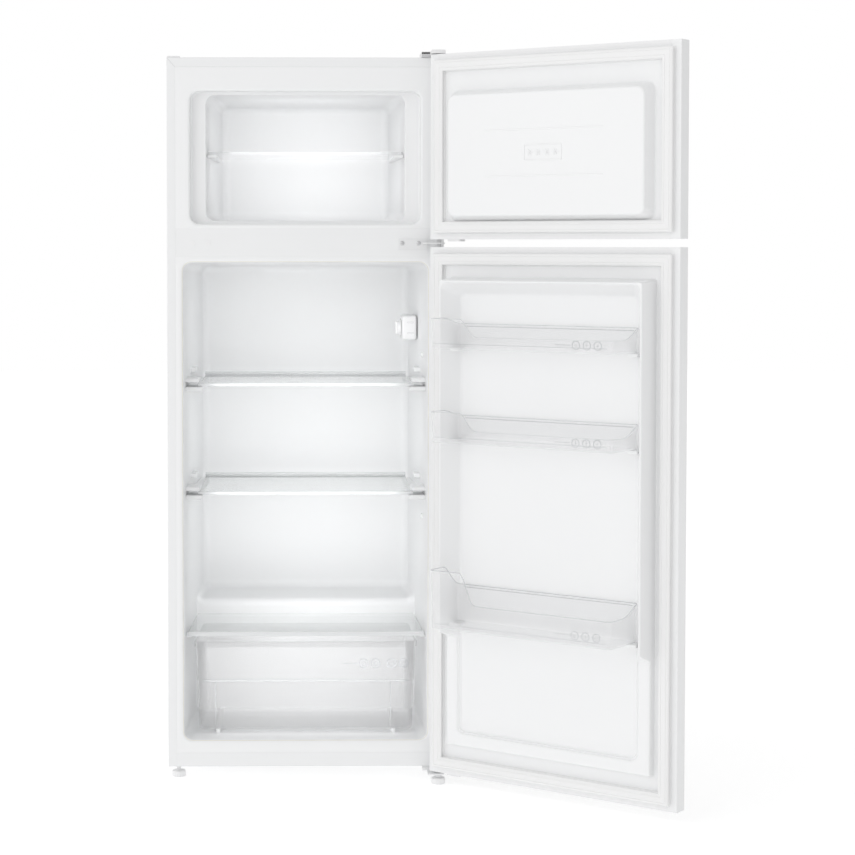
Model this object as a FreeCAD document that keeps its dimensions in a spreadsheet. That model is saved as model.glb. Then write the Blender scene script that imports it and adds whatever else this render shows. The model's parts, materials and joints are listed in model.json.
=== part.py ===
import FreeCAD, Part
import os
import re

import Sketcher

# A free-standing top freezer refrigerator: a foam-filled steel cabinet with two moulded
# compartments, two reversible doors hung on one pin line at the right, and a compressor
# in an open bay at the bottom of the back.  Millimetres.  The origin is on the floor, at
# the middle of the width, in the plane of the cabinet's front edge: +X is to the right,
# +Y goes to the back and +Z goes up.  The doors stand open by door_open degrees.

doc = FreeCAD.newDocument("TopFreezerRefrigerator")
sheet = doc.addObject("Spreadsheet::Sheet", "Sizes")

SIZES = {
    # cabinet
    "cabinet_width": 545.0,
    "cabinet_depth": 500.0,
    "cabinet_height": 1430.0,
    "base_height": 28.0,
    "steel": 1.0,
    "plastic": 1.5,
    "fold_radius": 1.5,
    "side_flange": 17.0,
    "top_flange": 18.8,
    "sill_height": 28.2,
    "mullion_height": 55.9,
    "panel_rib_count": 5,
    "panel_rib_width": 18.0,
    "panel_rib_rise": 1.5,
    # what the mullion cover carries
    "spare_hole_inset": 50.5,
    "spare_hole_pitch": 30.0,
    "spare_plug_radius": 4.0,
    "spare_plug_length": 12.0,
    "spare_cap_radius": 5.5,
    "spare_cap_rise": 1.2,
    "reed_side": 24.0,
    "reed_length": 36.0,
    "reed_depth": 9.0,
    "reed_lift": 8.0,
    "reed_height": 10.0,
    # freezer compartment
    "freezer_head": 66.0,
    "freezer_height": 260.0,
    "freezer_lip": 8.3,
    "freezer_side_lip": 28.9,
    "freezer_ledge": 29.9,
    "freezer_step": 25.0,
    "freezer_step_rise": 6.0,
    "freezer_insulation": 130.0,
    "freezer_draft": 20.0,
    "freezer_rise_draft": 4.0,
    "freezer_corner": 18.0,
    # fridge compartment
    "fridge_head": 11.8,
    "fridge_foot": 25.5,
    "fridge_side_lip": 14.7,
    "fridge_insulation": 80.0,
    "fridge_draft": 18.9,
    "fridge_corner": 17.0,
    "hump_depth": 238.0,
    "hump_rise": 292.0,
    "hump_radius": 16.0,
    # machine bay
    "bay_insulation": 42.0,
    "rail_height": 34.0,
    "rail_steel": 2.0,
    "rail_lip": 14.0,
    # doors
    "door_inset": 1.0,
    "door_gap": 12.0,
    "door_thickness": 32.0,
    "door_rise": 3.0,
    "door_drop": 1.0,
    "door_split": 15.0,
    "door_fold": 3.0,
    "door_inner_fold": 2.5,
    "door_return": 21.0,
    "door_cap": 8.0,
    "door_open": 142.75,
    "gasket_inset": 12.0,
    "gasket_width": 24.0,
    "gasket_gap": 0.3,
    "gasket_channel": 5.0,
    "gasket_groove": 5.0,
    "plug_rise": 27.0,
    "plug_bevel": 8.0,
    "plug_gap": 6.0,
    "plug_hinge_gap": 4.1,
    "plug_free_gap": 8.1,
    "plug_corner": 16.0,
    "plug_edge": 3.0,
    "dyke_gap": 16.3,
    "dyke_head": 28.0,
    "dyke_foot": 6.3,
    "dyke_rise": 48.0,
    "dyke_low_rise": 15.0,
    "dyke_low_height": 212.0,
    "dyke_lap": 40.0,
    "dyke_slope": 15.0,
    "dyke_bevel": 5.0,
    "dyke_width": 8.0,
    "dyke_corner": 14.0,
    "pocket_slope": 23.0,
    "pocket_rise": 8.0,
    "door_stop_inset": 37.0,
    "door_stop_length": 30.0,
    "door_stop_height": 4.0,
    "door_stop_front": 9.0,
    "door_stop_back": 3.0,
    "door_stop_corner": 3.0,
    # hinges and feet
    "pin_inset": 11.0,
    "pin_forward": 28.0,
    "pin_radius": 4.0,
    "pin_length": 15.0,
    "pin_clearance": 0.05,
    "bush_radius": 7.0,
    "bush_length": 17.0,
    "hinge_steel": 2.5,
    "hinge_reach": 14.0,
    "hinge_jog": 2.0,
    "hinge_corner": 8.0,
    "pin_seat": 1.0,
    "mid_hinge_rise": 26.3,
    "mid_hinge_width": 89.5,
    "mid_hinge_above": 9.2,
    "mid_hinge_below": 13.8,
    "mid_face_inset": 32.0,
    "mid_arm_width": 43.0,
    "top_hinge_length": 58.0,
    "top_hinge_width": 44.0,
    "hinge_cover_rise": 12.0,
    "hinge_cover_wall": 1.5,
    "hinge_cover_gap": 0.5,
    "hinge_cover_edge": 3.0,
    "corner_cap_inset": 1.0,
    "corner_cap_width": 25.0,
    "corner_cap_length": 36.0,
    "corner_cap_rise": 3.0,
    "corner_cap_edge": 1.2,
    "bottom_hinge_drop": 8.0,
    "bottom_hinge_width": 41.0,
    "bottom_hinge_length": 62.0,
    "bottom_arm_width": 32.0,
    "mid_screw_start": 7.0,
    "mid_screw_pitch": 32.5,
    "top_screw_inset": 12.0,
    "top_screw_back": 16.0,
    "bottom_screw_inset": 14.0,
    "bottom_screw_back": 18.0,
    "hinge_screw_pitch": 28.0,
    "screw_radius": 2.4,
    "screw_length": 12.0,
    "screw_head_radius": 4.5,
    "screw_head": 2.2,
    "screw_clearance": 0.2,
    "foot_radius": 14.0,
    "foot_pad": 12.5,
    "foot_neck": 8.0,
    "foot_edge": 1.5,
    "foot_slope": 2.0,
    "foot_boss": 9.0,
    "hinge_boss": 6.0,
    "stud_gap": 0.5,
    "foot_plate_front": 16.0,
    "foot_plate_back": 24.0,
    "left_foot_inset": 18.5,
    "left_foot_back": 40.0,
    "rear_foot_inset": 32.5,
    "rear_foot_back": 30.0,
    "rear_foot_radius": 15.0,
    "rear_foot_taper": 3.0,
    # shelves and drawer
    "glass": 4.0,
    "trim": 6.0,
    "trim_depth": 14.0,
    "trim_lip": 1.2,
    "trim_edge": 2.0,
    "rear_trim_rise": 5.0,
    "rear_trim_edge": 1.5,
    "glass_inset": 2.0,
    "rest_gap": 0.3,
    "shelf_clear": 2.0,
    "shelf_gap": 26.0,
    "shelf_front": 50.0,
    "shelf_back_gap": 40.0,
    "upper_shelf_drop": 247.0,
    "lower_shelf_drop": 464.0,
    "ledge_grip": 9.0,
    "ledge_height": 9.0,
    "ledge_lead": 10.0,
    "ledge_end_gap": 6.0,
    "over_ledge_grip": 3.0,
    "over_ledge_length": 60.0,
    "thin_ledge": 6.0,
    "cover_ledge_grip": 8.0,
    "runner_inset": 70.0,
    "runner_width": 10.0,
    "runner_front": 60.0,
    "freezer_ledge_grip": 24.0,
    "freezer_ledge_lead": 12.0,
    "freezer_ledge_end": 10.0,
    "freezer_shelf_front": 45.0,
    "freezer_shelf_depth": 250.0,
    "freezer_shelf_drop": 122.5,
    "freezer_shelf_gap": 1.5,
    "freezer_shelf_plate": 5.5,
    "cover_drop": 30.0,
    "cover_front": 35.0,
    "cover_bar_depth": 6.0,
    "cover_bar_drop": 2.0,
    "cover_bar_rise": 1.0,
    "cover_side_gap": 5.0,
    "cover_back_gap": 4.0,
    "cover_taper": 9.0,
    "crisper_side_gap": 17.0,
    "crisper_front": 38.0,
    "crisper_back_gap": 8.0,
    "crisper_lift": 9.3,
    "crisper_top_gap": 8.0,
    "crisper_wall": 2.5,
    "crisper_draft": 8.0,
    "crisper_radius": 12.0,
    # door racks
    "rack_gap": 1.5,
    "rack_flare": 6.0,
    "rack_depth": 105.0,
    "rack_wall": 2.2,
    "rack_floor_gap": 2.0,
    "rack_back_depth": 57.75,
    "rack_corner": 10.0,
    "upper_rack_drop": 162.0,
    "middle_rack_drop": 339.0,
    "bottle_rack_rise": 306.0,
    "rack_back": 46.0,
    "rack_front": 25.0,
    "rack_tongue": 58.0,
    "bottle_rack_back": 73.0,
    "bottle_rack_front": 52.0,
    "bottle_rack_tongue": 112.0,
    "tongue_width": 70.0,
    "tongue_slope": 50.0,
    "tongue_ease": 14.0,
    "tongue_ease_rise": 2.0,
    "lug_height": 7.0,
    "lug_width": 11.0,
    "lug_root": 12.0,
    "lug_lift": 1.0,
    "lug_length": 33.0,
    # lamp and thermostat
    "lamp_box_front": 200.0,
    "lamp_box_depth": 96.0,
    "lamp_box_width": 33.0,
    "lamp_box_height": 50.0,
    "lamp_box_drop": 136.0,
    "lamp_box_wall": 1.8,
    "lamp_box_slant": 8.0,
    "lamp_box_tail": 14.0,
    "lens_gap": 22.0,
    "lens_end": 16.0,
    "lens_height": 34.0,
    "knob_radius": 15.5,
    "knob_rise": 8.5,
    "knob_back": 22.0,
    "knob_edge": 1.5,
    "grip_rise": 4.0,
    "grip_width": 5.0,
    "grip_length": 26.0,
    "shaft_radius": 3.0,
    "shaft_length": 11.0,
    "shaft_clearance": 0.5,
    "can_gap": 9.0,
    "can_clearance": 2.0,
    "can_reach": 15.0,
    "can_height": 30.0,
    "neck_wall": 2.0,
    "bulb_radius": 8.0,
    "bulb_depth": 14.0,
    "bulb_back": 22.0,
    "bulb_base_radius": 4.8,
    "bulb_base_start": 5.0,
    "bulb_base_length": 15.0,
    # cooling circuit
    "compressor_radius": 74.0,
    "compressor_height": 160.0,
    "compressor_side": 95.0,
    "compressor_back": 98.0,
    "compressor_dish": 14.0,
    "compressor_crown": 12.0,
    "compressor_shoulder": 34.0,
    "weld_flange": 3.0,
    "weld_height": 5.0,
    "rail_front_gap": 24.0,
    "rail_back_gap": 6.0,
    "leg_plate": 3.0,
    "leg_spread": 62.0,
    "leg_stagger": 48.0,
    "leg_end": 16.0,
    "leg_corner": 14.0,
    "grommet_radius": 11.0,
    "grommet_height": 12.0,
    "grommet_neck": 5.5,
    "grommet_clearance": 0.55,
    "relay_lap": 12.0,
    "relay_depth": 34.0,
    "relay_front": 28.0,
    "relay_back": 22.0,
    "relay_lift": 40.0,
    "relay_height": 56.0,
    "relay_edge": 4.0,
    "gland_radius": 9.0,
    "gland_bore": 4.0,
    "gland_length": 12.0,
    "gland_out": 22.0,
    "gland_lift": 54.0,
    "tray_wall": 1.5,
    "tray_height": 26.0,
    "tray_width": 156.0,
    "tray_front": 54.0,
    "tray_back": 60.0,
    "tray_corner": 10.0,
    "drier_radius": 9.0,
    "drier_end": 4.0,
    "drier_cone": 14.0,
    "drier_length": 110.0,
    "drier_drop": 62.0,
    "suction_side": 30.0,
    "drier_side": 118.0,
    "discharge_side": 176.0,
    "tube_row_gap": 20.0,
    "tube_clearance": 0.5,
    "tube_bore_depth": 40.0,
    "tube_reach": 36.0,
    "tube_root": 1.5,
    "tube_bend": 16.0,
    "suction_lift": 110.0,
    "discharge_lift": 24.0,
    "discharge_front": 36.0,
    "suction_radius": 4.0,
    "discharge_radius": 2.5,
    "capillary_radius": 1.2,
    "condenser_radius": 2.4,
    "condenser_pitch": 88.0,
    "condenser_margin": 60.0,
    "condenser_bend": 35.2,
    "condenser_gap": 0.2,
    "condenser_start": 40.0,
    "condenser_end": 30.0,
    "coil_room_gap": 10.0,
    "coil_room_drop": 5.0,
    "evaporator_plate": 1.2,
    "freezer_coil_inset": 50.0,
    "freezer_coil_gap": 26.0,
    "fridge_coil_inset": 70.0,
    "fridge_coil_drop": 60.0,
    "fridge_coil_height": 270.0,
}


def fill_sheet():
    """Write every driving size, with its alias, into the spreadsheet."""
    for row, (alias, number) in enumerate(SIZES.items(), start=1):
        sheet.set(f"A{row}", alias.replace("_", " "))
        sheet.set(f"B{row}", str(number))
        sheet.setAlias(f"B{row}", alias)
    doc.recompute()


fill_sheet()

WORD = re.compile(r"[a-z][a-z0-9_]*")
KEPT = {}
FOAM_VOIDS = []

# ---------------------------------------------------------------- planes worked out from the sizes
SIDE = "(cabinet_width / 2)"
SIDE_IN = "(cabinet_width / 2 - steel)"
FLANGE_IN = "(cabinet_width / 2 - side_flange)"
TOP = "cabinet_height"
BACK_IN = "(cabinet_depth - steel)"

FREEZER_TOP = "(cabinet_height - freezer_head)"
FREEZER_BOTTOM = "(cabinet_height - freezer_head - freezer_height)"
FREEZER_SIDE = "(cabinet_width / 2 - side_flange - freezer_side_lip)"
THROAT_SIDE = "(cabinet_width / 2 - side_flange - freezer_side_lip - freezer_ledge)"
THROAT_TOP = f"({FREEZER_TOP} - freezer_step_rise)"
THROAT_BOTTOM = f"({FREEZER_BOTTOM} + freezer_step_rise)"
FREEZER_BACK = "(cabinet_depth - freezer_insulation)"

MULLION_TOP = f"({FREEZER_BOTTOM} - freezer_lip)"
MULLION_BOTTOM = f"({FREEZER_BOTTOM} - freezer_lip - mullion_height)"
HINGE_LEVEL = f"({MULLION_BOTTOM} + mid_hinge_rise)"

SILL_TOP = "(base_height + sill_height)"
FRIDGE_TOP = f"({MULLION_BOTTOM} - fridge_head)"
FRIDGE_BOTTOM = "(base_height + sill_height + fridge_foot)"
FRIDGE_SIDE = "(cabinet_width / 2 - side_flange - fridge_side_lip)"
FRIDGE_BACK = "(cabinet_depth - fridge_insulation)"
HUMP_FRONT = "(cabinet_depth - hump_depth)"
HUMP_TOP = "(base_height + hump_rise)"

BAY_FRONT = f"({HUMP_FRONT} + bay_insulation)"
BAY_TOP = f"({HUMP_TOP} - bay_insulation)"

DOOR_SIDE = "(cabinet_width / 2 - door_inset)"
DOOR_BACK = "(-door_gap)"
DOOR_FRONT = "(-door_gap - door_thickness)"
DOOR_CORE_FRONT = "(steel - door_gap - door_thickness)"
DOOR_CORE_X = ("-(cabinet_width / 2 - door_inset - steel)", "(cabinet_width / 2 - door_inset - steel)")
DOOR_WINDOW_X = ("-(cabinet_width / 2 - door_inset - door_return)",
                 "(cabinet_width / 2 - door_inset - door_return)")
FREEZER_DOOR_TOP = "(cabinet_height + door_rise)"
FREEZER_DOOR_BOTTOM = f"({HINGE_LEVEL} + door_split / 2)"
FRIDGE_DOOR_TOP = f"({HINGE_LEVEL} - door_split / 2)"
FRIDGE_DOOR_BOTTOM = "(base_height - door_drop)"
PIN_X = "(cabinet_width / 2 - pin_inset)"
PIN_Y = "(-pin_forward)"
POCKET_SIDE = f"({FRIDGE_SIDE} - dyke_gap - dyke_width - pocket_slope)"

UPPER_SHELF = f"({FRIDGE_TOP} - upper_shelf_drop)"
LOWER_SHELF = f"({FRIDGE_TOP} - lower_shelf_drop)"
COVER_TOP = f"({HUMP_TOP} - cover_drop)"
COVER_BAR_BACK = "(cover_front + cover_bar_depth)"
FREEZER_SHELF = f"({FREEZER_TOP} - freezer_shelf_drop)"


# ---------------------------------------------------------------- ways of making shapes
def in_sheet(text):
    """The same sum with each size's name turned into its spreadsheet cell."""
    def cell(word):
        return "Sizes." + word.group() if word.group() in SIZES else word.group()
    return WORD.sub(cell, str(text))


def number(text):
    """What a sum of sizes comes to now."""
    return float(sheet.evalExpression(in_sheet(text)))


def bind(item, **sums):
    """Bind properties to sums; a double underscore stands for a dot."""
    for name, text in sums.items():
        item.setExpression(name.replace("__", "."), in_sheet(text))
    return item


def both(half):
    """The span of something centred on the width."""
    return (f"-({half})", f"({half})")


def block(name, x, y, z):
    """A box between three (low, high) pairs."""
    item = doc.addObject("Part::Box", name)
    bind(item, Length=f"({x[1]}) - ({x[0]})", Width=f"({y[1]}) - ({y[0]})")
    bind(item, Height=f"({z[1]}) - ({z[0]})")
    return bind(item, Placement__Base__x=x[0], Placement__Base__y=y[0], Placement__Base__z=z[0])


def tapered(name, x, z, y, x_end, z_end):
    """A block along Y whose far end, at y[1], has spans of its own."""
    item = doc.addObject("Part::Wedge", name)
    bind(item, Xmin=x[0], Xmax=x[1], Zmin=z[0], Zmax=z[1], Ymin=y[0], Ymax=y[1])
    return bind(item, X2min=x_end[0], X2max=x_end[1], Z2min=z_end[0], Z2max=z_end[1])


TURNS = {"z": ((0, 0, 1), 0), "y": ((1, 0, 0), -90), "x": ((0, 1, 0), 90)}


def turned(item, centre, span, along):
    """Stand a round primitive at centre, a pair for the other two axes, from span[0]."""
    axis, angle = TURNS[along]
    item.Placement = FreeCAD.Placement(FreeCAD.Vector(), FreeCAD.Rotation(FreeCAD.Vector(*axis), angle))
    across = [letter for letter in "xyz" if letter != along]
    bind(item, **{f"Placement__Base__{along}": span[0]})
    return bind(item, **{f"Placement__Base__{letter}": place for letter, place in zip(across, centre)})


def rod(name, radius, centre, span, along="z"):
    """A cylinder along an axis, from span[0] to span[1]."""
    item = doc.addObject("Part::Cylinder", name)
    bind(item, Radius=radius, Height=f"({span[1]}) - ({span[0]})")
    return turned(item, centre, span, along)


def cone(name, low_radius, high_radius, centre, span, along="z"):
    """A cone whose two end radii differ."""
    item = doc.addObject("Part::Cone", name)
    bind(item, Radius1=low_radius, Radius2=high_radius, Height=f"({span[1]}) - ({span[0]})")
    return turned(item, centre, span, along)


def plus(name, *items):
    """The union of several shapes."""
    item = doc.addObject("Part::MultiFuse", name)
    item.Shapes = list(items)
    item.Refine = True
    return item


def minus(name, base, *tools):
    """A shape with others cut away from it; each runs 1 mm past the face that it opens."""
    item = doc.addObject("Part::Cut", name)
    item.Base = base
    item.Tool = tools[0] if len(tools) == 1 else plus(name + "_tools", *tools)
    item.Refine = True
    return item


def shared(name, first, second):
    """What two shapes have in common."""
    item = doc.addObject("Part::Common", name)
    item.Base = first
    item.Tool = second
    return item


def group(name, *items):
    """Separate solids that share one node."""
    item = doc.addObject("Part::Compound", name)
    item.Links = list(items)
    return item


def rounded(name, base, radius, wanted):
    """Fillet the edges of base that wanted() picks by where they lie."""
    doc.recompute()
    item = doc.addObject("Part::Fillet", name)
    item.Base = base
    item.Edges = [(k, radius, radius) for k, edge in enumerate(base.Shape.Edges, start=1) if wanted(edge)]
    return item


def ends(edge):
    return [vertex.Point for vertex in edge.Vertexes]


def runs(along):
    """Picks straight edges that run mostly along one axis."""
    def wanted(edge):
        if len(edge.Vertexes) != 2:
            return False
        step = edge.Vertexes[1].Point - edge.Vertexes[0].Point
        return abs(getattr(step, along)) > 0.6 * step.Length
    return wanted


def lies(along, place):
    """Picks edges that lie in the plane where one coordinate has this value."""
    return lambda edge: all(abs(getattr(point, along) - place) < 0.01 for point in ends(edge))


def either(*picks):
    return lambda edge: any(pick(edge) for pick in picks)


def every(*picks):
    return lambda edge: all(pick(edge) for pick in picks)


def keep(name, item):
    """Give a finished piece the name of its node."""
    item.Label = name
    KEPT[name] = item
    return item


def keep_on_door(name, *items):
    """Finish a piece that was drawn on a closed door, swung open about the pin line."""
    item = group(name, *items)
    turn_x = f"{PIN_X} - {PIN_X} * cos(door_open) + {PIN_Y} * sin(door_open)"
    turn_y = f"{PIN_Y} - {PIN_X} * sin(door_open) - {PIN_Y} * cos(door_open)"
    item.Placement = FreeCAD.Placement(FreeCAD.Vector(), FreeCAD.Rotation(FreeCAD.Vector(0, 0, 1), 1))
    bind(item, Placement__Rotation__Angle="door_open * 1 deg")
    bind(item, Placement__Base__x=turn_x, Placement__Base__y=turn_y)
    return keep(name, item)


def origin_plane(body, role):
    return next(feature for feature in body.Origin.OriginFeatures if feature.Role == role)


def outline(body, role, points, offset="0"):
    """A closed sketch of straight sides on one of a body's own planes, its corners bound."""
    sketch = body.newObject("Sketcher::SketchObject", body.Name + "_outline")
    sketch.AttachmentSupport = (origin_plane(body, role), "")
    sketch.MapMode = "FlatFace"
    bind(sketch, AttachmentOffset__Base__z=offset)
    corners = [FreeCAD.Vector(number(x), number(y), 0) for x, y in points]
    for k, corner in enumerate(corners):
        sketch.addGeometry(Part.LineSegment(corner, corners[(k + 1) % len(corners)]))
    for k in range(len(corners)):
        sketch.addConstraint(Sketcher.Constraint("Coincident", k, 2, (k + 1) % len(corners), 1))
    for k, (x, y) in enumerate(points):
        for kind, text, place in (("DistanceX", x, corners[k].x), ("DistanceY", y, corners[k].y)):
            row = sketch.addConstraint(Sketcher.Constraint(kind, -1, 1, k, 1, place))
            sketch.setExpression(f"Constraints[{row}]", in_sheet(text))
    return sketch


def pad(body, sketch, length, flip=False):
    feature = body.newObject("PartDesign::Pad", body.Name + "_pad")
    feature.Profile = sketch
    feature.Reversed = flip
    bind(feature, Length=length)
    body.Tip = feature
    return feature


def pocket(body, sketch, length, flip=False):
    feature = body.newObject("PartDesign::Pocket", body.Name + "_pocket")
    feature.Profile = sketch
    feature.Reversed = flip
    bind(feature, Length=length)
    body.Tip = feature
    return feature


def body_fillet(body, base, name, radius, wanted):
    """Fillet the edges of a body's last feature that wanted() picks."""
    doc.recompute()
    feature = body.newObject("PartDesign::Fillet", name)
    picked = [f"Edge{k}" for k, edge in enumerate(base.Shape.Edges, start=1) if wanted(edge)]
    feature.Base = (base, picked)
    bind(feature, Radius=radius)
    body.Tip = feature
    return feature


def turning(name, points, centre, along="z"):
    """A body of revolution: points are (radius, distance along the axis)."""
    body = doc.addObject("PartDesign::Body", name)
    sketch = outline(body, "XZ_Plane", points)
    feature = body.newObject("PartDesign::Revolution", name + "_turn")
    feature.Profile = sketch
    feature.ReferenceAxis = (sketch, ["V_Axis"])
    feature.Angle = 360
    body.Tip = feature
    axis, angle = TURNS[along]
    body.Placement = FreeCAD.Placement(FreeCAD.Vector(), FreeCAD.Rotation(FreeCAD.Vector(*axis), angle))
    x, y, z = centre
    return bind(body, Placement__Base__x=x, Placement__Base__y=y, Placement__Base__z=z)


def plate_body(name, role, points, thickness, offset="0", flip=False):
    """A plate body: a straight-sided outline padded to a thickness."""
    body = doc.addObject("PartDesign::Body", name)
    pad(body, outline(body, role, points, offset), thickness, flip)
    return body


def tube(name, points, radius, bend):
    """A round tube through points, with a tangent arc of radius bend at each corner."""
    points = [FreeCAD.Vector(*(number(text) for text in point)) for point in points]
    edges = []
    start = points[0]
    for before, corner, after in zip(points, points[1:], points[2:]):
        into = (corner - before).normalize()
        out = (after - corner).normalize()
        cut = bend * abs(FreeCAD.Vector(into - out).Length / FreeCAD.Vector(into + out).Length)
        leave = corner - into * cut
        join = corner + out * cut
        middle = (out - into).normalize()
        centre = corner + middle * (bend / FreeCAD.Vector(into + out).Length * 2)
        edges.append(Part.LineSegment(start, leave).toShape())
        edges.append(Part.Arc(leave, centre - middle * bend, join).toShape())
        start = join
    edges.append(Part.LineSegment(start, points[-1]).toShape())
    path = Part.Wire(edges)
    direction = (points[1] - points[0]).normalize()
    ring = Part.Wire([Part.makeCircle(radius, points[0], direction)])
    item = doc.addObject("Part::Feature", name)
    item.Shape = path.makePipeShell([ring], True, False)
    return item


# ---------------------------------------------------------------- screws
def screw(name, centre, face, along="z", outward=1):
    """A pan-head screw whose head sits on a face; outward says which way the head points."""
    low, high = f"({face})", f"({face} + {outward} * screw_head)"
    head_span = (low, high) if outward > 0 else (high, low)
    deep = f"({face} - {outward} * screw_length)"
    shank_span = (deep, low) if outward > 0 else (low, deep)
    head = rod(name + "_head", "screw_head_radius", centre, head_span, along)
    return plus(name, head, rod(name + "_shank", "screw_radius", centre, shank_span, along))


def screw_hole(name, centre, face, along="z", outward=1):
    """The clearance hole of such a screw, cut through all that it passes."""
    low = f"({face} + {outward} * 1)"
    high = f"({face} - {outward} * (screw_length + screw_clearance))"
    span = (high, low) if outward > 0 else (low, high)
    return rod(name, "screw_radius + screw_clearance", centre, span, along)


# Each row: the screw's place across its axis, the face under its head, its axis and its way.
MID_HINGE_START = f"({SIDE} - mid_hinge_width)"
MID_FACE = "(-hinge_steel)"
TOP_HINGE_FACE = "(cabinet_height + hinge_steel)"
BOTTOM_HINGE_FACE = "(base_height - hinge_steel)"
MID_SCREWS = [((f"{MID_HINGE_START} + mid_screw_start + {k} * mid_screw_pitch", HINGE_LEVEL),
               MID_FACE, "y", -1) for k in range(2)]
TOP_SCREWS = [((f"{PIN_X} - top_screw_inset", f"top_screw_back + {k} * hinge_screw_pitch"),
               TOP_HINGE_FACE, "z", 1) for k in range(2)]
BOTTOM_SCREWS = [((f"{PIN_X} - bottom_screw_inset", f"bottom_screw_back + {k} * hinge_screw_pitch"),
                  BOTTOM_HINGE_FACE, "z", -1) for k in range(2)]


def holes(label, rows):
    return [screw_hole(f"{label}_hole_{k}", *row) for k, row in enumerate(rows)]


# ---------------------------------------------------------------- cabinet shell
def cabinet_shell():
    """The folded steel wrapper: two sides, the top and the flanges round the front."""
    outside = block("wrapper_outside", both(SIDE), ("0", "cabinet_depth"), ("base_height", TOP))
    edges = either(every(runs("z"), lies("y", 0)), every(runs("x"), lies("y", 0), lies("z", number(TOP))),
                   every(runs("y"), lies("z", number(TOP))))
    outside = rounded("wrapper_folds", outside, number("fold_radius"), edges)
    hollow = block("wrapper_hollow", both(SIDE_IN), ("steel", "cabinet_depth + 1"),
                   ("base_height - 1", f"{TOP} - steel"))
    window = block("wrapper_window", both(FLANGE_IN), ("-1", "steel + 1"),
                   ("base_height - 1", f"{TOP} - top_flange"))
    keep("cabinet_wrapper", minus("wrapper", outside, hollow, window, *holes("wrapper", TOP_SCREWS)))


def back_panel():
    """The flat rear sheet over the foam, with shallow pressed ribs across it."""
    sheet_part = block("back_sheet", both(SIDE_IN), (BACK_IN, "cabinet_depth"), (BAY_TOP, f"{TOP} - steel"))
    count = int(number("panel_rib_count"))
    ribs = []
    for k in range(count):
        level = f"({BAY_TOP} + ({TOP} - {BAY_TOP}) * {k + 1} / {count + 1})"
        across = both(f"{SIDE} - condenser_margin")
        ribs.append(block(f"back_rib_{k}", across, ("cabinet_depth", "cabinet_depth + panel_rib_rise"),
                          (f"{level} - panel_rib_width / 2", f"{level} + panel_rib_width / 2")))
    keep("back_panel", plus("back_panel_sheet", sheet_part, *ribs))


def cabinet_floor():
    """The sill, the base pan in front of the machine bay, and the stepped panel over the bay."""
    sill = block("sill", both(FLANGE_IN), ("0", "steel"), ("base_height", SILL_TOP))
    pan = block("pan", both(SIDE_IN), ("steel", BAY_FRONT), ("base_height", "base_height + steel"))
    foot_hole = rod("pan_foot_hole", "foot_neck", (f"-({SIDE} - left_foot_inset)", "left_foot_back"),
                    ("base_height - 1", "base_height + 2"))
    folded = plus("base_pan_folded", pan, sill)
    keep("base_pan", minus("base_pan_sheet", folded, foot_hole, *holes("pan", BOTTOM_SCREWS)))
    riser = block("step_riser", both(SIDE_IN), (BAY_FRONT, f"{BAY_FRONT} + steel"),
                  ("base_height", BAY_TOP))
    roof = block("step_roof", both(SIDE_IN), (BAY_FRONT, "cabinet_depth"),
                 (f"{BAY_TOP} - steel", BAY_TOP))
    bores = [rod(f"step_bore_{k}", radius, centre, (f"{BAY_TOP} - 5", f"{BAY_TOP} + 5"))
             for k, (radius, centre) in enumerate(TUBE_BORES)]
    keep("machine_bay_panel", minus("step_panel", plus("step_sheet", riser, roof), *bores))


def mullion():
    """The cover strip between the compartments, with two plugs in the spare hinge's holes."""
    places = [(f"-({SIDE} - spare_hole_inset - {k} * spare_hole_pitch)", HINGE_LEVEL) for k in range(2)]
    strip = block("mullion_strip", both(FLANGE_IN), ("0", "plastic"), (MULLION_BOTTOM, MULLION_TOP))
    seats = [rod(f"plug_seat_{k}", "spare_plug_radius", place, ("-1", "plastic + 1"), "y")
             for k, place in enumerate(places)]
    keep("mullion_cover", minus("mullion_sheet", strip, *seats, *holes("mullion", MID_SCREWS)))
    plugs = []
    for k, place in enumerate(places):
        cap = rod(f"plug_cap_{k}", "spare_cap_radius", place, ("-spare_cap_rise", "0"), "y")
        stem = rod(f"plug_stem_{k}", "spare_plug_radius", place, ("0", "spare_plug_length"), "y")
        plugs.append(plus(f"plug_{k}", cap, stem))
        FOAM_VOIDS.append(stem)
    keep("mullion_plugs", group("mullion_plug_pair", *plugs))
    switch = block("reed_body", ("reed_side", "reed_side + reed_length"),
                   ("plastic", "plastic + reed_depth"),
                   (f"{MULLION_BOTTOM} + reed_lift", f"{MULLION_BOTTOM} + reed_lift + reed_height"))
    keep("door_reed_switch", switch)
    FOAM_VOIDS.append(switch)


# ---------------------------------------------------------------- compartments and foam
def fridge_space(name, grow, front="0"):
    """The tapered fridge space, stepped over the machine bay; grow adds a wall all round."""
    front_x = both(f"{FRIDGE_SIDE} + {grow}")
    end_x = both(f"{FRIDGE_SIDE} - fridge_draft + {grow}")
    low, high = f"{FRIDGE_BOTTOM} - {grow}", f"{FRIDGE_TOP} + {grow}"
    back = f"{FRIDGE_BACK} + {grow}"
    space = tapered(name, front_x, (low, high), (front, back), end_x, (low, f"{high} - fridge_draft / 2"))
    corners = number("fridge_corner") + number(str(grow))
    space = rounded(name + "_corners", space, corners, either(runs("y"), lies("y", number(back))))
    hump = block(name + "_hump", both(SIDE), (f"{HUMP_FRONT} + {grow}", "cabinet_depth"),
                 ("base_height", f"{HUMP_TOP} - {grow}"))
    edge = every(runs("x"), lies("y", number(f"{HUMP_FRONT} + {grow}")),
                 lies("z", number(f"{HUMP_TOP} - {grow}")))
    hump = rounded(name + "_hump_edge", hump, number("hump_radius"), edge)
    return minus(name + "_stepped", space, hump)


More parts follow.
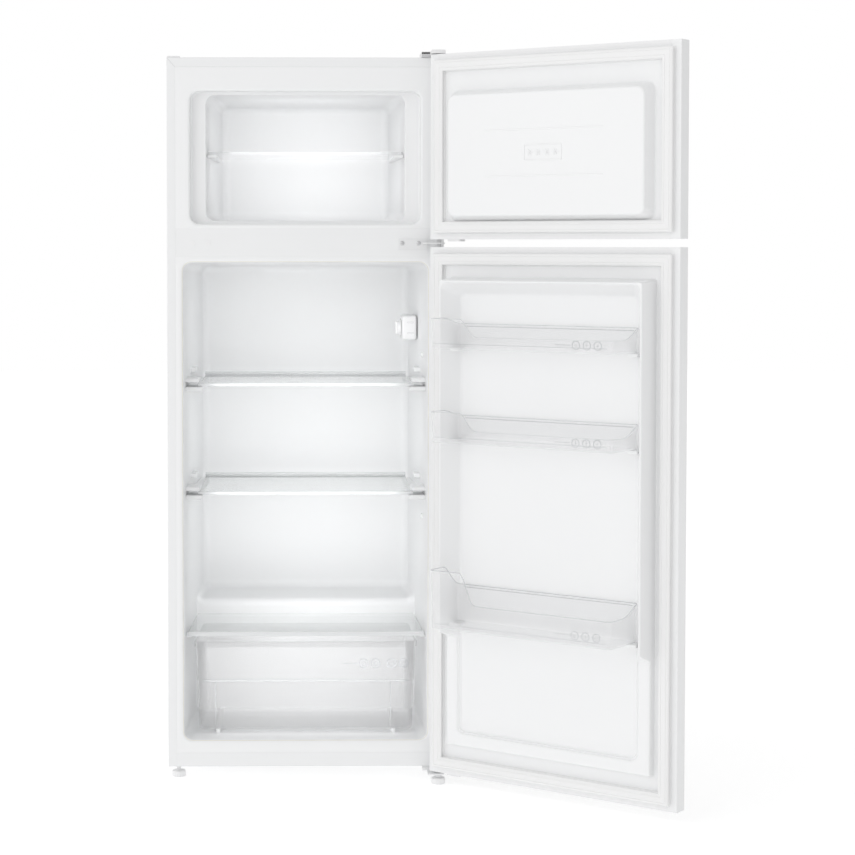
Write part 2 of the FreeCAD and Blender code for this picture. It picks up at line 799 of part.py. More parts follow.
def freezer_space(name, grow, front="0"):
    """The freezer space: a shallow step round the mouth, then the tapered throat."""
    step = block(name + "_step", both(f"{FREEZER_SIDE} + {grow}"), (front, f"freezer_step + {grow}"),
                 (f"{FREEZER_BOTTOM} - {grow}", f"{FREEZER_TOP} + {grow}"))
    step = rounded(name + "_step_corners", step, number("freezer_corner") + number(str(grow)), runs("y"))
    low, high = f"{THROAT_BOTTOM} - {grow}", f"{THROAT_TOP} + {grow}"
    back = f"{FREEZER_BACK} + {grow}"
    throat = tapered(name + "_throat", both(f"{THROAT_SIDE} + {grow}"), (low, high), (front, back),
                     both(f"{THROAT_SIDE} - freezer_draft + {grow}"),
                     (f"{low} + freezer_rise_draft", f"{high} - freezer_rise_draft"))
    corners = either(runs("y"), lies("y", number(back)))
    throat = rounded(name + "_corners", throat, number("freezer_corner") + number(str(grow)), corners)
    return plus(name, step, throat)


def ledges(name, level, plate, inner, side, span, outer_space):
    """A pair of moulded grooves that hold a plate's two edges, one on each side wall."""
    made = []
    for hand, way in (("left", -1), ("right", 1)):
        across = sorted_span(way, f"{inner} - ledge_grip", side)
        low = block(f"{name}_{hand}_under", across, span,
                    (f"{level} - rest_gap - ledge_height", f"{level} - rest_gap"))
        across = sorted_span(way, f"{inner} - over_ledge_grip", side)
        high = f"{level} + {plate} + shelf_clear"
        above = block(f"{name}_{hand}_over", across, (span[0], f"{span[0]} + over_ledge_length"),
                      (high, f"{high} + ledge_height"))
        pair = plus(f"{name}_{hand}_pair", low, above)
        made.append(shared(f"{name}_{hand}_in_wall", pair, outer_space))
    return made


def sorted_span(way, inner, outer):
    """A span on one side of the middle: way is -1 for the left and 1 for the right."""
    return (f"-({outer})", f"-({inner})") if way < 0 else (f"({inner})", f"({outer})")


def fridge_liner():
    """The fridge compartment, with its shelf ledges, cover ledges and drawer runners."""
    outer = fridge_space("fridge_outer", "plastic")
    flange = block("fridge_flange", both(FLANGE_IN), ("0", "plastic"), (SILL_TOP, MULLION_BOTTOM))
    ribs = []
    shelf_span = ("shelf_front - ledge_lead", f"{FRIDGE_BACK} - shelf_back_gap - ledge_end_gap")
    for name, level in (("upper", UPPER_SHELF), ("lower", LOWER_SHELF)):
        ribs += ledges(f"{name}_ledge", level, "trim", f"{FRIDGE_SIDE} - shelf_gap", SIDE, shelf_span, outer)
    cover_span = (f"{COVER_BAR_BACK} + 2 * rest_gap", f"{HUMP_FRONT} - ledge_end_gap")
    cover_level = f"{COVER_TOP} - trim - rest_gap"
    for hand, way in (("left", -1), ("right", 1)):
        across = sorted_span(way, f"{FRIDGE_SIDE} - cover_side_gap - cover_ledge_grip", SIDE)
        under = block(f"cover_ledge_{hand}", across, cover_span, (f"{cover_level} - thin_ledge", cover_level))
        ribs.append(shared(f"cover_ledge_{hand}_in_wall", under, outer))
        inset = f"{FRIDGE_SIDE} - runner_inset"
        across = sorted_span(way, inset, f"{inset} + runner_width")
        ribs.append(block(f"crisper_runner_{hand}", across, ("runner_front", f"{HUMP_FRONT} + plastic"),
                          (FRIDGE_BOTTOM, f"{FRIDGE_BOTTOM} + crisper_lift - rest_gap")))
    inner = fridge_space("fridge_inner", "0", front="-1")
    shell = minus("fridge_shell", plus("fridge_block", outer, flange), inner)
    keep("fridge_liner", plus("fridge_liner_shape", shell, *ribs))
    return outer


def freezer_liner():
    """The freezer compartment, with the pair of ledges under its shelf."""
    outer = freezer_space("freezer_outer", "plastic")
    flange = block("freezer_flange", both(FLANGE_IN), ("0", "plastic"), (MULLION_TOP, f"{TOP} - top_flange"))
    inner = freezer_space("freezer_inner", "0", front="-1")
    shell = minus("freezer_shell", plus("freezer_block", outer, flange), inner)
    span = ("freezer_step + freezer_ledge_lead",
            "freezer_shelf_front + freezer_shelf_depth - freezer_ledge_end")
    level = f"{FREEZER_SHELF} - rest_gap"
    ribs = []
    for hand, way in (("left", -1), ("right", 1)):
        across = sorted_span(way, f"{THROAT_SIDE} - freezer_ledge_grip", SIDE)
        rib = block(f"freezer_ledge_{hand}", across, span, (f"{level} - thin_ledge", level))
        ribs.append(shared(f"freezer_ledge_{hand}_in_wall", rib, outer))
    keep("freezer_liner", plus("freezer_liner_shape", shell, *ribs))
    return outer


def cabinet_foam(*compartments):
    """The foam that fills the shell round both compartments and all that is set in it."""
    bulk = block("foam_block", both(SIDE_IN), ("plastic", BACK_IN), ("base_height + steel", f"{TOP} - steel"))
    bay = block("foam_bay", both(SIDE), (BAY_FRONT, "cabinet_depth"), ("base_height", BAY_TOP))
    coil_room = block("foam_coil_room", both(f"{SIDE} - condenser_margin + coil_room_gap"),
                      (f"{BACK_IN} - 2 * condenser_radius - 1", "cabinet_depth"),
                      (f"{BAY_TOP} - coil_room_drop", f"{TOP} - condenser_margin"))
    for name, rows in (("foam_mid", MID_SCREWS), ("foam_top", TOP_SCREWS), ("foam_bottom", BOTTOM_SCREWS)):
        FOAM_VOIDS.extend(holes(name, rows))
    for k, (radius, centre) in enumerate(TUBE_BORES):
        bore_span = (BAY_TOP, f"{BAY_TOP} + tube_bore_depth")
        FOAM_VOIDS.append(rod(f"foam_bore_{k}", radius, centre, bore_span))
    keep("cabinet_foam", minus("foam", bulk, *compartments, bay, coil_room, *FOAM_VOIDS))


# ---------------------------------------------------------------- hinges and feet
ARM_FRONT = f"({PIN_Y} - hinge_reach)"
TOP_ARM_LOW = "(cabinet_height + hinge_steel + hinge_jog)"
BOTTOM_ARM = (f"({BOTTOM_HINGE_FACE} - bottom_hinge_drop + hinge_steel)",
              f"({BOTTOM_HINGE_FACE} - bottom_hinge_drop + 2 * hinge_steel)")


def pin_rod(name, span):
    return rod(name, "pin_radius", (PIN_X, PIN_Y), span)


def top_hinge():
    """The bracket screwed to the top, stepped up over the door, and its pin."""
    across = (f"{SIDE} - top_hinge_width", SIDE)
    rear = block("top_rear", across, ("steel", "top_hinge_length"), (TOP, TOP_HINGE_FACE))
    step = block("top_step", across, ("-hinge_jog", "steel"), (TOP, f"{TOP_ARM_LOW} + hinge_steel"))
    front = block("top_front", (f"{PIN_X} - hinge_reach", SIDE), (ARM_FRONT, "steel"),
                  (TOP_ARM_LOW, f"{TOP_ARM_LOW} + hinge_steel"))
    pin = pin_rod("top_pin", (f"{FREEZER_DOOR_TOP} - pin_length", f"{TOP_ARM_LOW} + pin_seat"))
    whole = plus("top_hinge_sheet", rear, step, front, pin)
    keep("top_hinge", minus("top_hinge_plate", whole, *holes("top", TOP_SCREWS)))


def top_covers():
    """The moulded cover over the top hinge, and the cap on the spare corner."""
    wall, gap = "hinge_cover_wall", "hinge_cover_gap"
    high = f"{TOP} + hinge_cover_rise"
    end = "top_hinge_length"
    rear = block("cover_rear", (f"{SIDE} - top_hinge_width - {wall}", SIDE), ("0", f"{end} + {gap} + {wall}"),
                 (TOP, high))
    front = block("cover_over_door", (f"{PIN_X} - hinge_reach - 2 * {wall}", SIDE),
                  (f"{ARM_FRONT} - {gap} - {wall}", "steel"), (TOP_ARM_LOW, high))
    outer = rounded("cover_edges", plus("cover_outside", rear, front), number("hinge_cover_edge"),
                    lies("z", number(high)))
    room_z = (f"{TOP} - 1", f"{high} - {wall}")
    room = block("cover_room", (f"{SIDE} - top_hinge_width", f"{SIDE} + 1"),
                 ("-(hinge_jog + rest_gap)", f"{end} + {gap}"), room_z)
    nose = block("cover_nose_room", (f"{PIN_X} - hinge_reach - {wall}", f"{SIDE} + 1"),
                 (f"{ARM_FRONT} - {gap}", "steel"), room_z)
    keep("top_hinge_cover", minus("cover_shell", outer, room, nose))

    near, far = f"{SIDE} - corner_cap_inset", f"{SIDE} - corner_cap_inset - corner_cap_width"
    cap = block("corner_cap_block", (f"-({near})", f"-({far})"),
                ("2 * corner_cap_inset", "2 * corner_cap_inset + corner_cap_length"),
                (TOP, f"{TOP} + corner_cap_rise"))
    edges = lies("z", number(f"{TOP} + corner_cap_rise"))
    keep("top_corner_cap", rounded("corner_cap_edges", cap, number("corner_cap_edge"), edges))


def mid_hinge():
    """The plate screwed to the mullion, and the arm that carries both doors' pins."""
    face = block("mid_face", (MID_HINGE_START, f"{SIDE} - mid_face_inset"), (MID_FACE, "0"),
                 (f"{HINGE_LEVEL} - mid_hinge_below", f"{HINGE_LEVEL} + mid_hinge_above"))
    arm = block("mid_arm", (f"{SIDE} - mid_arm_width", SIDE), (ARM_FRONT, "0"),
                (f"{HINGE_LEVEL} - hinge_steel / 2", f"{HINGE_LEVEL} + hinge_steel / 2"))
    corners = every(runs("z"), lies("y", number(ARM_FRONT)))
    arm = rounded("mid_arm_corner", arm, number("hinge_corner"), corners)
    pin = pin_rod("mid_pin", (f"{FRIDGE_DOOR_TOP} - pin_length", f"{FREEZER_DOOR_BOTTOM} + pin_length"))
    whole = plus("mid_hinge_sheet", face, arm, pin)
    keep("mid_hinge", minus("mid_hinge_plate", whole, *holes("mid", MID_SCREWS)))


def bottom_hinge():
    """The bracket under the base, with the lower pin and a boss for the right foot."""
    low, high = BOTTOM_ARM
    across = (f"{SIDE} - bottom_hinge_width", SIDE)
    rear = block("bottom_rear", across, ("-hinge_jog", "bottom_hinge_length"),
                 (BOTTOM_HINGE_FACE, "base_height"))
    step = block("bottom_step", across, ("-(hinge_jog + hinge_steel)", "-hinge_jog"),
                 (low, "base_height - hinge_jog"))
    front = block("bottom_front", (f"{SIDE} - bottom_arm_width", SIDE), (ARM_FRONT, "-hinge_jog"),
                  (low, high))
    boss = rod("bottom_boss", "bush_radius", (PIN_X, PIN_Y), (f"{low} - hinge_boss", low))
    pin = pin_rod("bottom_pin", (low, f"{FRIDGE_DOOR_BOTTOM} + pin_length"))
    bore = rod("bottom_bore", "pin_radius + pin_clearance", (PIN_X, PIN_Y),
               (f"{low} - hinge_boss - 1", f"{low} - stud_gap"))
    whole = plus("bottom_hinge_sheet", rear, step, front, boss, pin)
    keep("bottom_hinge", minus("bottom_hinge_plate", whole, bore, *holes("bottom", BOTTOM_SCREWS)))


def front_feet():
    """The two levelling feet, and the plate that carries the left one."""
    low = BOTTOM_ARM[0]
    foot("right_levelling_foot", (PIN_X, PIN_Y, "0"), f"{low} - hinge_boss", f"{low} - 2 * stud_gap")
    x, y = f"-({SIDE} - left_foot_inset)", "left_foot_back"
    plate = block("foot_plate_sheet", (f"{x} - foot_radius", f"{x} + foot_radius"),
                  (f"{y} - foot_plate_front", f"{y} + foot_plate_back"),
                  ("base_height - hinge_steel", "base_height"))
    boss_low, stud_top = "base_height - foot_boss", "base_height - steel"
    boss = rod("foot_plate_boss", "bush_radius", (x, y), (boss_low, stud_top))
    bore = rod("foot_plate_bore", "pin_radius + pin_clearance", (x, y),
               (f"{boss_low} - 1", "base_height + 1"))
    keep("left_foot_plate", minus("foot_plate", plus("foot_plate_solid", plate, boss), bore))
    foot("left_levelling_foot", (x, y, "0"), boss_low, stud_top)


def hinges():
    """Three brackets on one pin line, their screws and covers, and the front feet."""
    top_hinge()
    top_covers()
    mid_hinge()
    bottom_hinge()
    rows = MID_SCREWS + TOP_SCREWS + BOTTOM_SCREWS
    keep("hinge_screws", group("screws", *[screw(f"screw_{k}", *row) for k, row in enumerate(rows)]))
    front_feet()


def foot(name, centre, boss_low, stud_top):
    """A levelling foot: a broad pad, a neck and the stud that screws up into its boss."""
    neck_top = f"({boss_low} - rest_gap)"
    points = [("0", "0"), ("foot_radius - foot_edge", "0"), ("foot_radius", "foot_edge"),
              ("foot_radius", "foot_pad - foot_slope"), ("foot_neck", "foot_pad"),
              ("foot_neck - foot_edge", neck_top), ("pin_radius", neck_top),
              ("pin_radius", stud_top), ("0", stud_top)]
    keep(name, turning(name + "_turned", points, centre))


# ---------------------------------------------------------------- shelves, drawer, lamp box
def shelf(name, level, inner, front, back):
    """A glass plate with a front trim and a rear trim that also stops things sliding off."""
    glass_low = f"{level} + trim_lip"
    glass = block(name + "_plate", both(f"{inner} - glass_inset"),
                  (f"{front} + glass_inset", f"{back} - glass_inset"), (glass_low, f"{glass_low} + glass"))
    bar = block(name + "_bar", both(inner), (front, f"{front} + trim_depth"), (level, f"{level} + trim"))
    nose = every(runs("x"), lies("y", number(front)))
    bar = rounded(name + "_bar_edge", bar, number("trim_edge"), nose)
    high = f"{level} + trim + rear_trim_rise"
    rear = block(name + "_rear_bar", both(inner), (f"{back} - trim_depth", back), (level, high))
    crest = every(runs("x"), lies("z", number(high)))
    rear = rounded(name + "_rear_edge", rear, number("rear_trim_edge"), crest)
    trims = [minus(name + "_front", bar, glass), minus(name + "_rear", rear, glass)]
    keep(name + "_trims", group(name + "_trim_pair", *trims))
    keep(name + "_glass", glass)


def crisper_cover():
    """The glass over the drawer, a little narrower at the back, and its front bar."""
    side = f"{FRIDGE_SIDE} - cover_side_gap"
    cover_z = (f"{COVER_TOP} - trim", COVER_TOP)
    cover = tapered("cover_plate", both(side), cover_z, (COVER_BAR_BACK, f"{HUMP_FRONT} - cover_back_gap"),
                    both(f"{side} - cover_taper"), cover_z)
    keep("crisper_cover_glass", cover)
    bar = block("cover_bar", both(side), ("cover_front", COVER_BAR_BACK),
                (f"{COVER_TOP} - trim - cover_bar_drop", f"{COVER_TOP} + cover_bar_rise"))
    nose = every(runs("x"), lies("y", number("cover_front")))
    keep("crisper_cover_trim", rounded("cover_bar_edge", bar, number("rear_trim_edge"), nose))


def freezer_shelf():
    level = (FREEZER_SHELF, f"{FREEZER_SHELF} + freezer_shelf_plate")
    reach = "freezer_shelf_front + freezer_shelf_depth"
    slope = f"freezer_draft / {FREEZER_BACK}"
    side = f"{THROAT_SIDE} - freezer_shelf_gap"
    plate = tapered("freezer_plate", both(f"{side} - {slope} * freezer_shelf_front"), level,
                    ("freezer_shelf_front", reach), both(f"{side} - {slope} * ({reach})"), level)
    nose = every(runs("x"), lies("y", number("freezer_shelf_front")))
    keep("freezer_shelf", rounded("freezer_plate_edge", plate, number("trim_edge"), nose))


def shelves():
    for name, level in (("upper_shelf", UPPER_SHELF), ("lower_shelf", LOWER_SHELF)):
        shelf(name, level, f"{FRIDGE_SIDE} - shelf_gap", "shelf_front", f"{FRIDGE_BACK} - shelf_back_gap")
    crisper_cover()
    freezer_shelf()


def crisper():
    """The drawer: a drafted open-topped box with a lip round its rim."""
    low = f"({FRIDGE_BOTTOM} + crisper_lift)"
    high = f"({COVER_TOP} - trim - crisper_top_gap - thin_ledge)"
    side = f"({FRIDGE_SIDE} - crisper_side_gap)"
    back = f"({HUMP_FRONT} - crisper_back_gap)"
    back_side = f"({side} - crisper_draft)"
    body = doc.addObject("PartDesign::Body", "crisper_body")
    points = [(f"-{side}", "crisper_front"), (side, "crisper_front"), (back_side, back),
              (f"-{back_side}", back)]
    box = pad(body, outline(body, "XY_Plane", points, low), f"{high} - {low}")
    corners = body_fillet(body, box, "crisper_corners", "crisper_radius", runs("z"))
    doc.recompute()
    hollow = body.newObject("PartDesign::Thickness", "crisper_hollow")
    top = max(range(len(body.Shape.Faces)), key=lambda k: body.Shape.Faces[k].CenterOfMass.z)
    hollow.Base = (corners, [f"Face{top + 1}"])
    hollow.Reversed = True
    bind(hollow, Value="crisper_wall")
    body.Tip = hollow
    keep("crisper_drawer", body)


def lamp_box():
    """The box on the right wall: housing, lens, bulb, thermostat, its shaft and its knob."""
    front, back = "lamp_box_front", "lamp_box_front + lamp_box_depth"
    middle = f"({FRIDGE_TOP} - lamp_box_drop)"
    low, high = f"({middle} - lamp_box_height / 2)", f"({middle} + lamp_box_height / 2)"
    slope = f"fridge_draft / ({FRIDGE_BACK})"
    wall_front = f"({FRIDGE_SIDE} - {slope} * ({front}) - rest_gap)"
    wall_back = f"({FRIDGE_SIDE} - {slope} * ({back}) - rest_gap)"
    face = f"({wall_front} - lamp_box_width)"
    knob_y = f"{front} + knob_back"
    lens_y = (f"{knob_y} + lens_gap", f"{back} - lens_end")
    lens_z = (f"{middle} - lens_height / 2", f"{middle} + lens_height / 2")
    lamp_housing(face, (low, high), (front, back), (wall_front, wall_back), (lens_y, lens_z),
                 (knob_y, middle))
    keep("lamp_lens", block("lens", (face, f"{face} + lamp_box_wall"), lens_y, lens_z))
    lamp_bulb(face, f"({lens_y[0]} + bulb_back)", middle)
    thermostat(face, front, wall_front, (knob_y, middle))


def lamp_housing(face, level, span, walls, lens, knob):
    """The moulded box, open to the wall behind it, with the lens window and the shaft's hole."""
    (low, high), (front, back), (wall_front, wall_back) = level, span, walls
    skin, slant, tail = "lamp_box_wall", "lamp_box_slant", "lamp_box_tail"
    body = doc.addObject("PartDesign::Body", "lamp_box_body")
    points = [(face, front), (wall_front, front), (wall_back, back), (f"{face} + {slant}", back),
              (face, f"{back} - {tail}")]
    pad(body, outline(body, "XY_Plane", points, low), f"{high} - {low}")
    past_wall = f"{wall_front} + 5"
    points = [(f"{face} + {skin}", f"{front} + {skin}"), (past_wall, f"{front} + {skin}"),
              (past_wall, f"{back} - {skin}"), (f"{face} + {slant} + {skin}", f"{back} - {skin}"),
              (f"{face} + {skin}", f"{back} - {tail} - {skin}")]
    room = outline(body, "XY_Plane", points, f"{low} + {skin}")
    pocket(body, room, f"{high} - {low} - 2 * {skin}", flip=True)
    window = block("lens_window", (f"{face} - 1", f"{face} + {skin} + 0.01"), *lens)
    shaft_hole = rod("shaft_hole", "shaft_radius + shaft_clearance", knob,
                     (f"{face} - 1", f"{face} + {skin} + 1"), "x")
    keep("lamp_box", minus("lamp_box_shell", body, window, shaft_hole))


def lamp_bulb(face, y, z):
    x = f"{face} + bulb_depth"
    glass = doc.addObject("Part::Sphere", "bulb_glass")
    bind(glass, Radius="bulb_radius", Placement__Base__x=x, Placement__Base__y=y, Placement__Base__z=z)
    base_end = f"{y} - bulb_base_start"
    base = rod("bulb_base", "bulb_base_radius", (x, z), (f"{base_end} - bulb_base_length", base_end), "y")
    keep("lamp_bulb", plus("bulb", glass, base))


def thermostat(face, front, wall, centre):
    """The thermostat's can and neck behind the face, and the knob on its shaft."""
    skin = "lamp_box_wall"
    knob_y, middle = centre
    can = block("thermostat_can", (f"{face} + can_gap", f"{wall} - can_clearance"),
                (f"{front} + {skin} + can_clearance", f"{knob_y} + can_reach"),
                (f"{middle} - can_height / 2", f"{middle} + can_height / 2"))
    neck = rod("thermostat_neck", "shaft_radius + neck_wall", centre,
               (f"{face} + {skin}", f"{face} + can_gap"), "x")
    bore = rod("thermostat_bore", "shaft_radius + pin_clearance", centre,
               (f"{face} + {skin} - 1", f"{face} + shaft_length + 1"), "x")
    keep("thermostat", minus("thermostat_body", plus("thermostat_solid", can, neck), bore))
    crown = f"{face} - knob_rise"
    dial = rod("knob_dial", "knob_radius", centre, (crown, f"{face} - rest_gap"), "x")
    dial = rounded("knob_edge_round", dial, number("knob_edge"), lies("x", number(crown)))
    grip = block("knob_grip", (f"{crown} - grip_rise", f"{crown} + 1"),
                 (f"{knob_y} - grip_width / 2", f"{knob_y} + grip_width / 2"),
                 (f"{middle} - grip_length / 2", f"{middle} + grip_length / 2"))
    shaft = rod("knob_shaft", "shaft_radius", centre, (f"{crown} + 1", f"{face} + shaft_length"), "x")
    keep("thermostat_knob", plus("knob", dial, grip, shaft))


# ---------------------------------------------------------------- cooling circuit
COMPRESSOR = ("-compressor_side", "(cabinet_depth - compressor_back)")
RAIL_TOP = "(rail_height + rail_steel)"
SHELL_LOW = f"({RAIL_TOP} + grommet_height + leg_plate)"
SHELL_TOP = f"({SHELL_LOW} + compressor_height)"
TUBE_Y = "(cabinet_depth - compressor_back + tube_row_gap)"
TUBE_BORES = [("suction_radius + tube_clearance", ("suction_side", TUBE_Y)),
              ("capillary_radius + tube_clearance", ("drier_side", TUBE_Y)),
              ("discharge_radius + tube_clearance", ("discharge_side", TUBE_Y))]
# How much of its radius the compressor's shell keeps at the ends of its dished lid and base.
BASE_FLAT = 0.55
BASE_CURVE = 0.88
LID_CURVE = 0.86
LID_FLAT = 0.5


def compressor_rail():
    """The cross rail that carries the compressor, and the two rear feet under it."""
    rail_y = (f"{BAY_FRONT} + rail_front_gap", "cabinet_depth - rail_back_gap")
    floor = block("rail_floor", both(SIDE_IN), rail_y, ("rail_height", RAIL_TOP))
    front_lip = (rail_y[0], f"{rail_y[0]} + rail_steel")
    back_lip = (f"{rail_y[1]} - rail_steel", rail_y[1])
    lips = [block(f"rail_lip_{hand}", both(SIDE_IN), span, ("rail_height", "rail_height + rail_lip"))
            for hand, span in (("front", front_lip), ("back", back_lip))]
    keep("compressor_rail", plus("rail", floor, *lips))
    feet = []
    for way in (-1, 1):
        centre = (f"{way} * ({SIDE} - rear_foot_inset)", "cabinet_depth - rear_foot_back")
        feet.append(cone(f"rear_foot_{way + 1}", "rear_foot_radius - rear_foot_taper", "rear_foot_radius",
                         centre, ("0", "rail_height")))
    keep("rear_feet", group("rear_foot_pair", *feet))


def compressor():
    """The welded shell on its leg plate, and the rubber grommets under the four corners."""
    x, y = COMPRESSOR
    radius, flange = "compressor_radius", "compressor_radius + weld_flange"
    seam = f"{SHELL_LOW} + compressor_height / 2"
    points = [("0", SHELL_LOW), (f"{radius} * {BASE_FLAT}", SHELL_LOW),
              (f"{radius} * {BASE_CURVE}", f"{SHELL_LOW} + compressor_dish"),
              (radius, f"{SHELL_LOW} + compressor_shoulder"), (radius, seam), (flange, seam),
              (flange, f"{seam} + weld_height"), (radius, f"{seam} + weld_height"),
              (radius, f"{SHELL_TOP} - compressor_shoulder"),
              (f"{radius} * {LID_CURVE}", f"{SHELL_TOP} - compressor_crown"),
              (f"{radius} * {LID_FLAT}", SHELL_TOP), ("0", SHELL_TOP)]
    shell = turning("compressor_shell", points, (x, y, "0"))
    foot_z = (f"{RAIL_TOP} + grommet_height", SHELL_LOW)
    half_x, half_y = "(leg_spread + leg_end)", "(leg_stagger + leg_corner)"
    legs = block("compressor_legs_plate", (f"{x} - {half_x}", f"{x} + {half_x}"),
                 (f"{y} - {half_y}", f"{y} + {half_y}"), foot_z)
    legs = rounded("compressor_legs_corners", legs, number("leg_corner"), runs("z"))
    places = [(f"{x} + {i} * leg_spread", f"{y} + {j} * leg_stagger") for i in (-1, 1) for j in (-1, 1)]
    leg_holes = [rod(f"leg_hole_{k}", "grommet_neck + grommet_clearance", place,
                     (f"{foot_z[0]} - 1", f"{foot_z[1]} + 1")) for k, place in enumerate(places)]
    keep("compressor", plus("compressor_whole", shell, minus("compressor_legs", legs, *leg_holes)))
    grommets = []
    for k, place in enumerate(places):
        body = rod(f"grommet_body_{k}", "grommet_radius", place, (RAIL_TOP, foot_z[0]))
        neck = rod(f"grommet_neck_{k}", "grommet_neck", place, (foot_z[0], f"{foot_z[1]} + 1"))
        grommets.append(plus(f"grommet_{k}", body, neck))
    keep("compressor_grommets", group("grommet_set", *grommets))


def relay_and_gland():
    """The relay cover on the shell's side, and the gland that the supply cord enters."""
    x, y = COMPRESSOR
    radius = "compressor_radius"
    room = rod("relay_room", f"{radius} + weld_flange + rest_gap", COMPRESSOR, (SHELL_LOW, SHELL_TOP))
    outer_face = f"{x} + {radius} + relay_depth"
    relay_low = f"{SHELL_LOW} + relay_lift"
    relay = block("relay_block", (f"{x} + {radius} - relay_lap", outer_face),
                  (f"{y} - relay_front", f"{y} + relay_back"), (relay_low, f"{relay_low} + relay_height"))
    relay = rounded("relay_edges", relay, number("relay_edge"), lies("x", number(outer_face)))
    keep("relay_cover", minus("relay", relay, room))
    centre = (f"{x} + {radius} + gland_out", f"{SHELL_LOW} + gland_lift")
    near, far = f"{y} + relay_back", f"{y} + relay_back + gland_length"
    gland = rod("gland_body", "gland_radius", centre, (near, far), "y")
    bore = rod("gland_hole", "gland_bore", centre, (f"{near} - 1", f"{far} + 1"), "y")
    keep("cord_gland", minus("gland", gland, bore))


def tray_and_drier():
    """The drip tray on top of the compressor, and the copper drier beside it."""
    x, y = COMPRESSOR
    tray_x = (f"{x} - tray_width / 2", f"{x} + tray_width / 2")
    tray_y = (f"{y} - tray_front", f"{y} + tray_back")
    tray = block("tray_outside", tray_x, tray_y, (SHELL_TOP, f"{SHELL_TOP} + tray_height"))
    tray = rounded("tray_corners", tray, number("tray_corner"), runs("z"))
    hollow = block("tray_inside", (f"{tray_x[0]} + tray_wall", f"{tray_x[1]} - tray_wall"),
                   (f"{tray_y[0]} + tray_wall", f"{tray_y[1]} - tray_wall"),
                   (f"{SHELL_TOP} + tray_wall", f"{SHELL_TOP} + tray_height + 1"))
    hollow = rounded("tray_inside_corners", hollow, number("tray_corner - tray_wall"), runs("z"))
    keep("drip_tray", minus("tray", tray, hollow))

    high = f"({BAY_TOP} - drier_drop)"
    low = f"({high} - drier_length)"
    points = [("0", low), ("drier_end", low), ("drier_radius", f"{low} + drier_cone"),
              ("drier_radius", f"{high} - drier_cone"), ("drier_end", high), ("0", high)]
    keep("filter_drier", turning("drier", points, ("drier_side", TUBE_Y, "0")))


def tubes():
    """The refrigerant lines in the machine bay."""
    x, y = COMPRESSOR
    side = f"({x} + compressor_radius - tube_root)"
    top = f"{BAY_TOP} + tube_reach"
    bend = number("tube_bend")
    level = f"({SHELL_LOW} + suction_lift)"
    points = [(side, TUBE_Y, level), ("suction_side", TUBE_Y, level), ("suction_side", TUBE_Y, top)]
    suction = tube("suction", points, number("suction_radius"), bend)
    low = f"({SHELL_LOW} + discharge_lift)"
    front = f"({y} - discharge_front)"
    points = [(side, front, low), ("discharge_side", front, low), ("discharge_side", TUBE_Y, low),
              ("discharge_side", TUBE_Y, top)]
    discharge = tube("discharge", points, number("discharge_radius"), bend)
    points = [("drier_side", TUBE_Y, f"{BAY_TOP} - drier_drop"), ("drier_side", TUBE_Y, top)]
    capillary = tube("capillary", points, number("capillary_radius"), bend)
    keep("refrigerant_tubes", group("tube_set", suction, discharge, capillary))


def condenser():
    """The coil behind the back panel: level runs joined by U bends, as many as fit."""
    reach = number(f"{SIDE} - condenser_margin")
    pitch = number("condenser_pitch")
    depth = number(f"{BACK_IN} - condenser_radius - condenser_gap")
    level = number(f"{BAY_TOP} + condenser_start")
    top = number(f"{TOP} - condenser_margin - condenser_end")
    points = [(-reach, depth, level)]
    way = 1
    while level + pitch < top:
        points += [(way * reach, depth, level), (way * reach, depth, level + pitch)]
        way = -way
        level += pitch
    points.append((way * reach, depth, level))
    keep("condenser_coil", tube("condenser", points, number("condenser_radius"), number("condenser_bend")))


def evaporators():
    """The cold plates foamed in behind both compartments' back walls."""
    behind = f"{FREEZER_BACK} + plastic"
    upper = block("freezer_plate_evaporator", both(f"{THROAT_SIDE} - freezer_coil_inset"),
                  (behind, f"{behind} + evaporator_plate"),
                  (f"{THROAT_BOTTOM} + freezer_coil_gap", f"{THROAT_TOP} - freezer_coil_gap"))
    behind = f"{FRIDGE_BACK} + plastic"
    high = f"{FRIDGE_TOP} - fridge_coil_drop"
    lower = block("fridge_plate_evaporator", both(f"{FRIDGE_SIDE} - fridge_coil_inset"),
                  (behind, f"{behind} + evaporator_plate"), (f"{high} - fridge_coil_height", high))
    keep("evaporator_plates", group("evaporator_pair", upper, lower))
    FOAM_VOIDS.extend([upper, lower])


# ---------------------------------------------------------------- doors, drawn closed
def freezer_plug(name, shrink):
    """The raised pad of the freezer door's liner; shrink takes a wall off all round."""
    x = (f"-({FREEZER_SIDE} - plug_free_gap - {shrink})", f"({FREEZER_SIDE} - plug_hinge_gap - {shrink})")
    z = (f"{FREEZER_BOTTOM} + plug_gap + {shrink}", f"{FREEZER_TOP} - plug_gap - {shrink}")
    top = f"{DOOR_BACK} + plug_rise - {shrink}"
    raised = tapered(name, x, z, (f"{DOOR_BACK} - plastic", top),
                     (f"{x[0]} + plug_bevel", f"{x[1]} - plug_bevel"),
                     (f"{z[0]} + plug_bevel", f"{z[1]} - plug_bevel"))
    raised = rounded(name + "_corners", raised, number(f"plug_corner - {shrink}"), runs("y"))
    return rounded(name + "_edges", raised, number("plug_edge"), lies("y", number(top)))


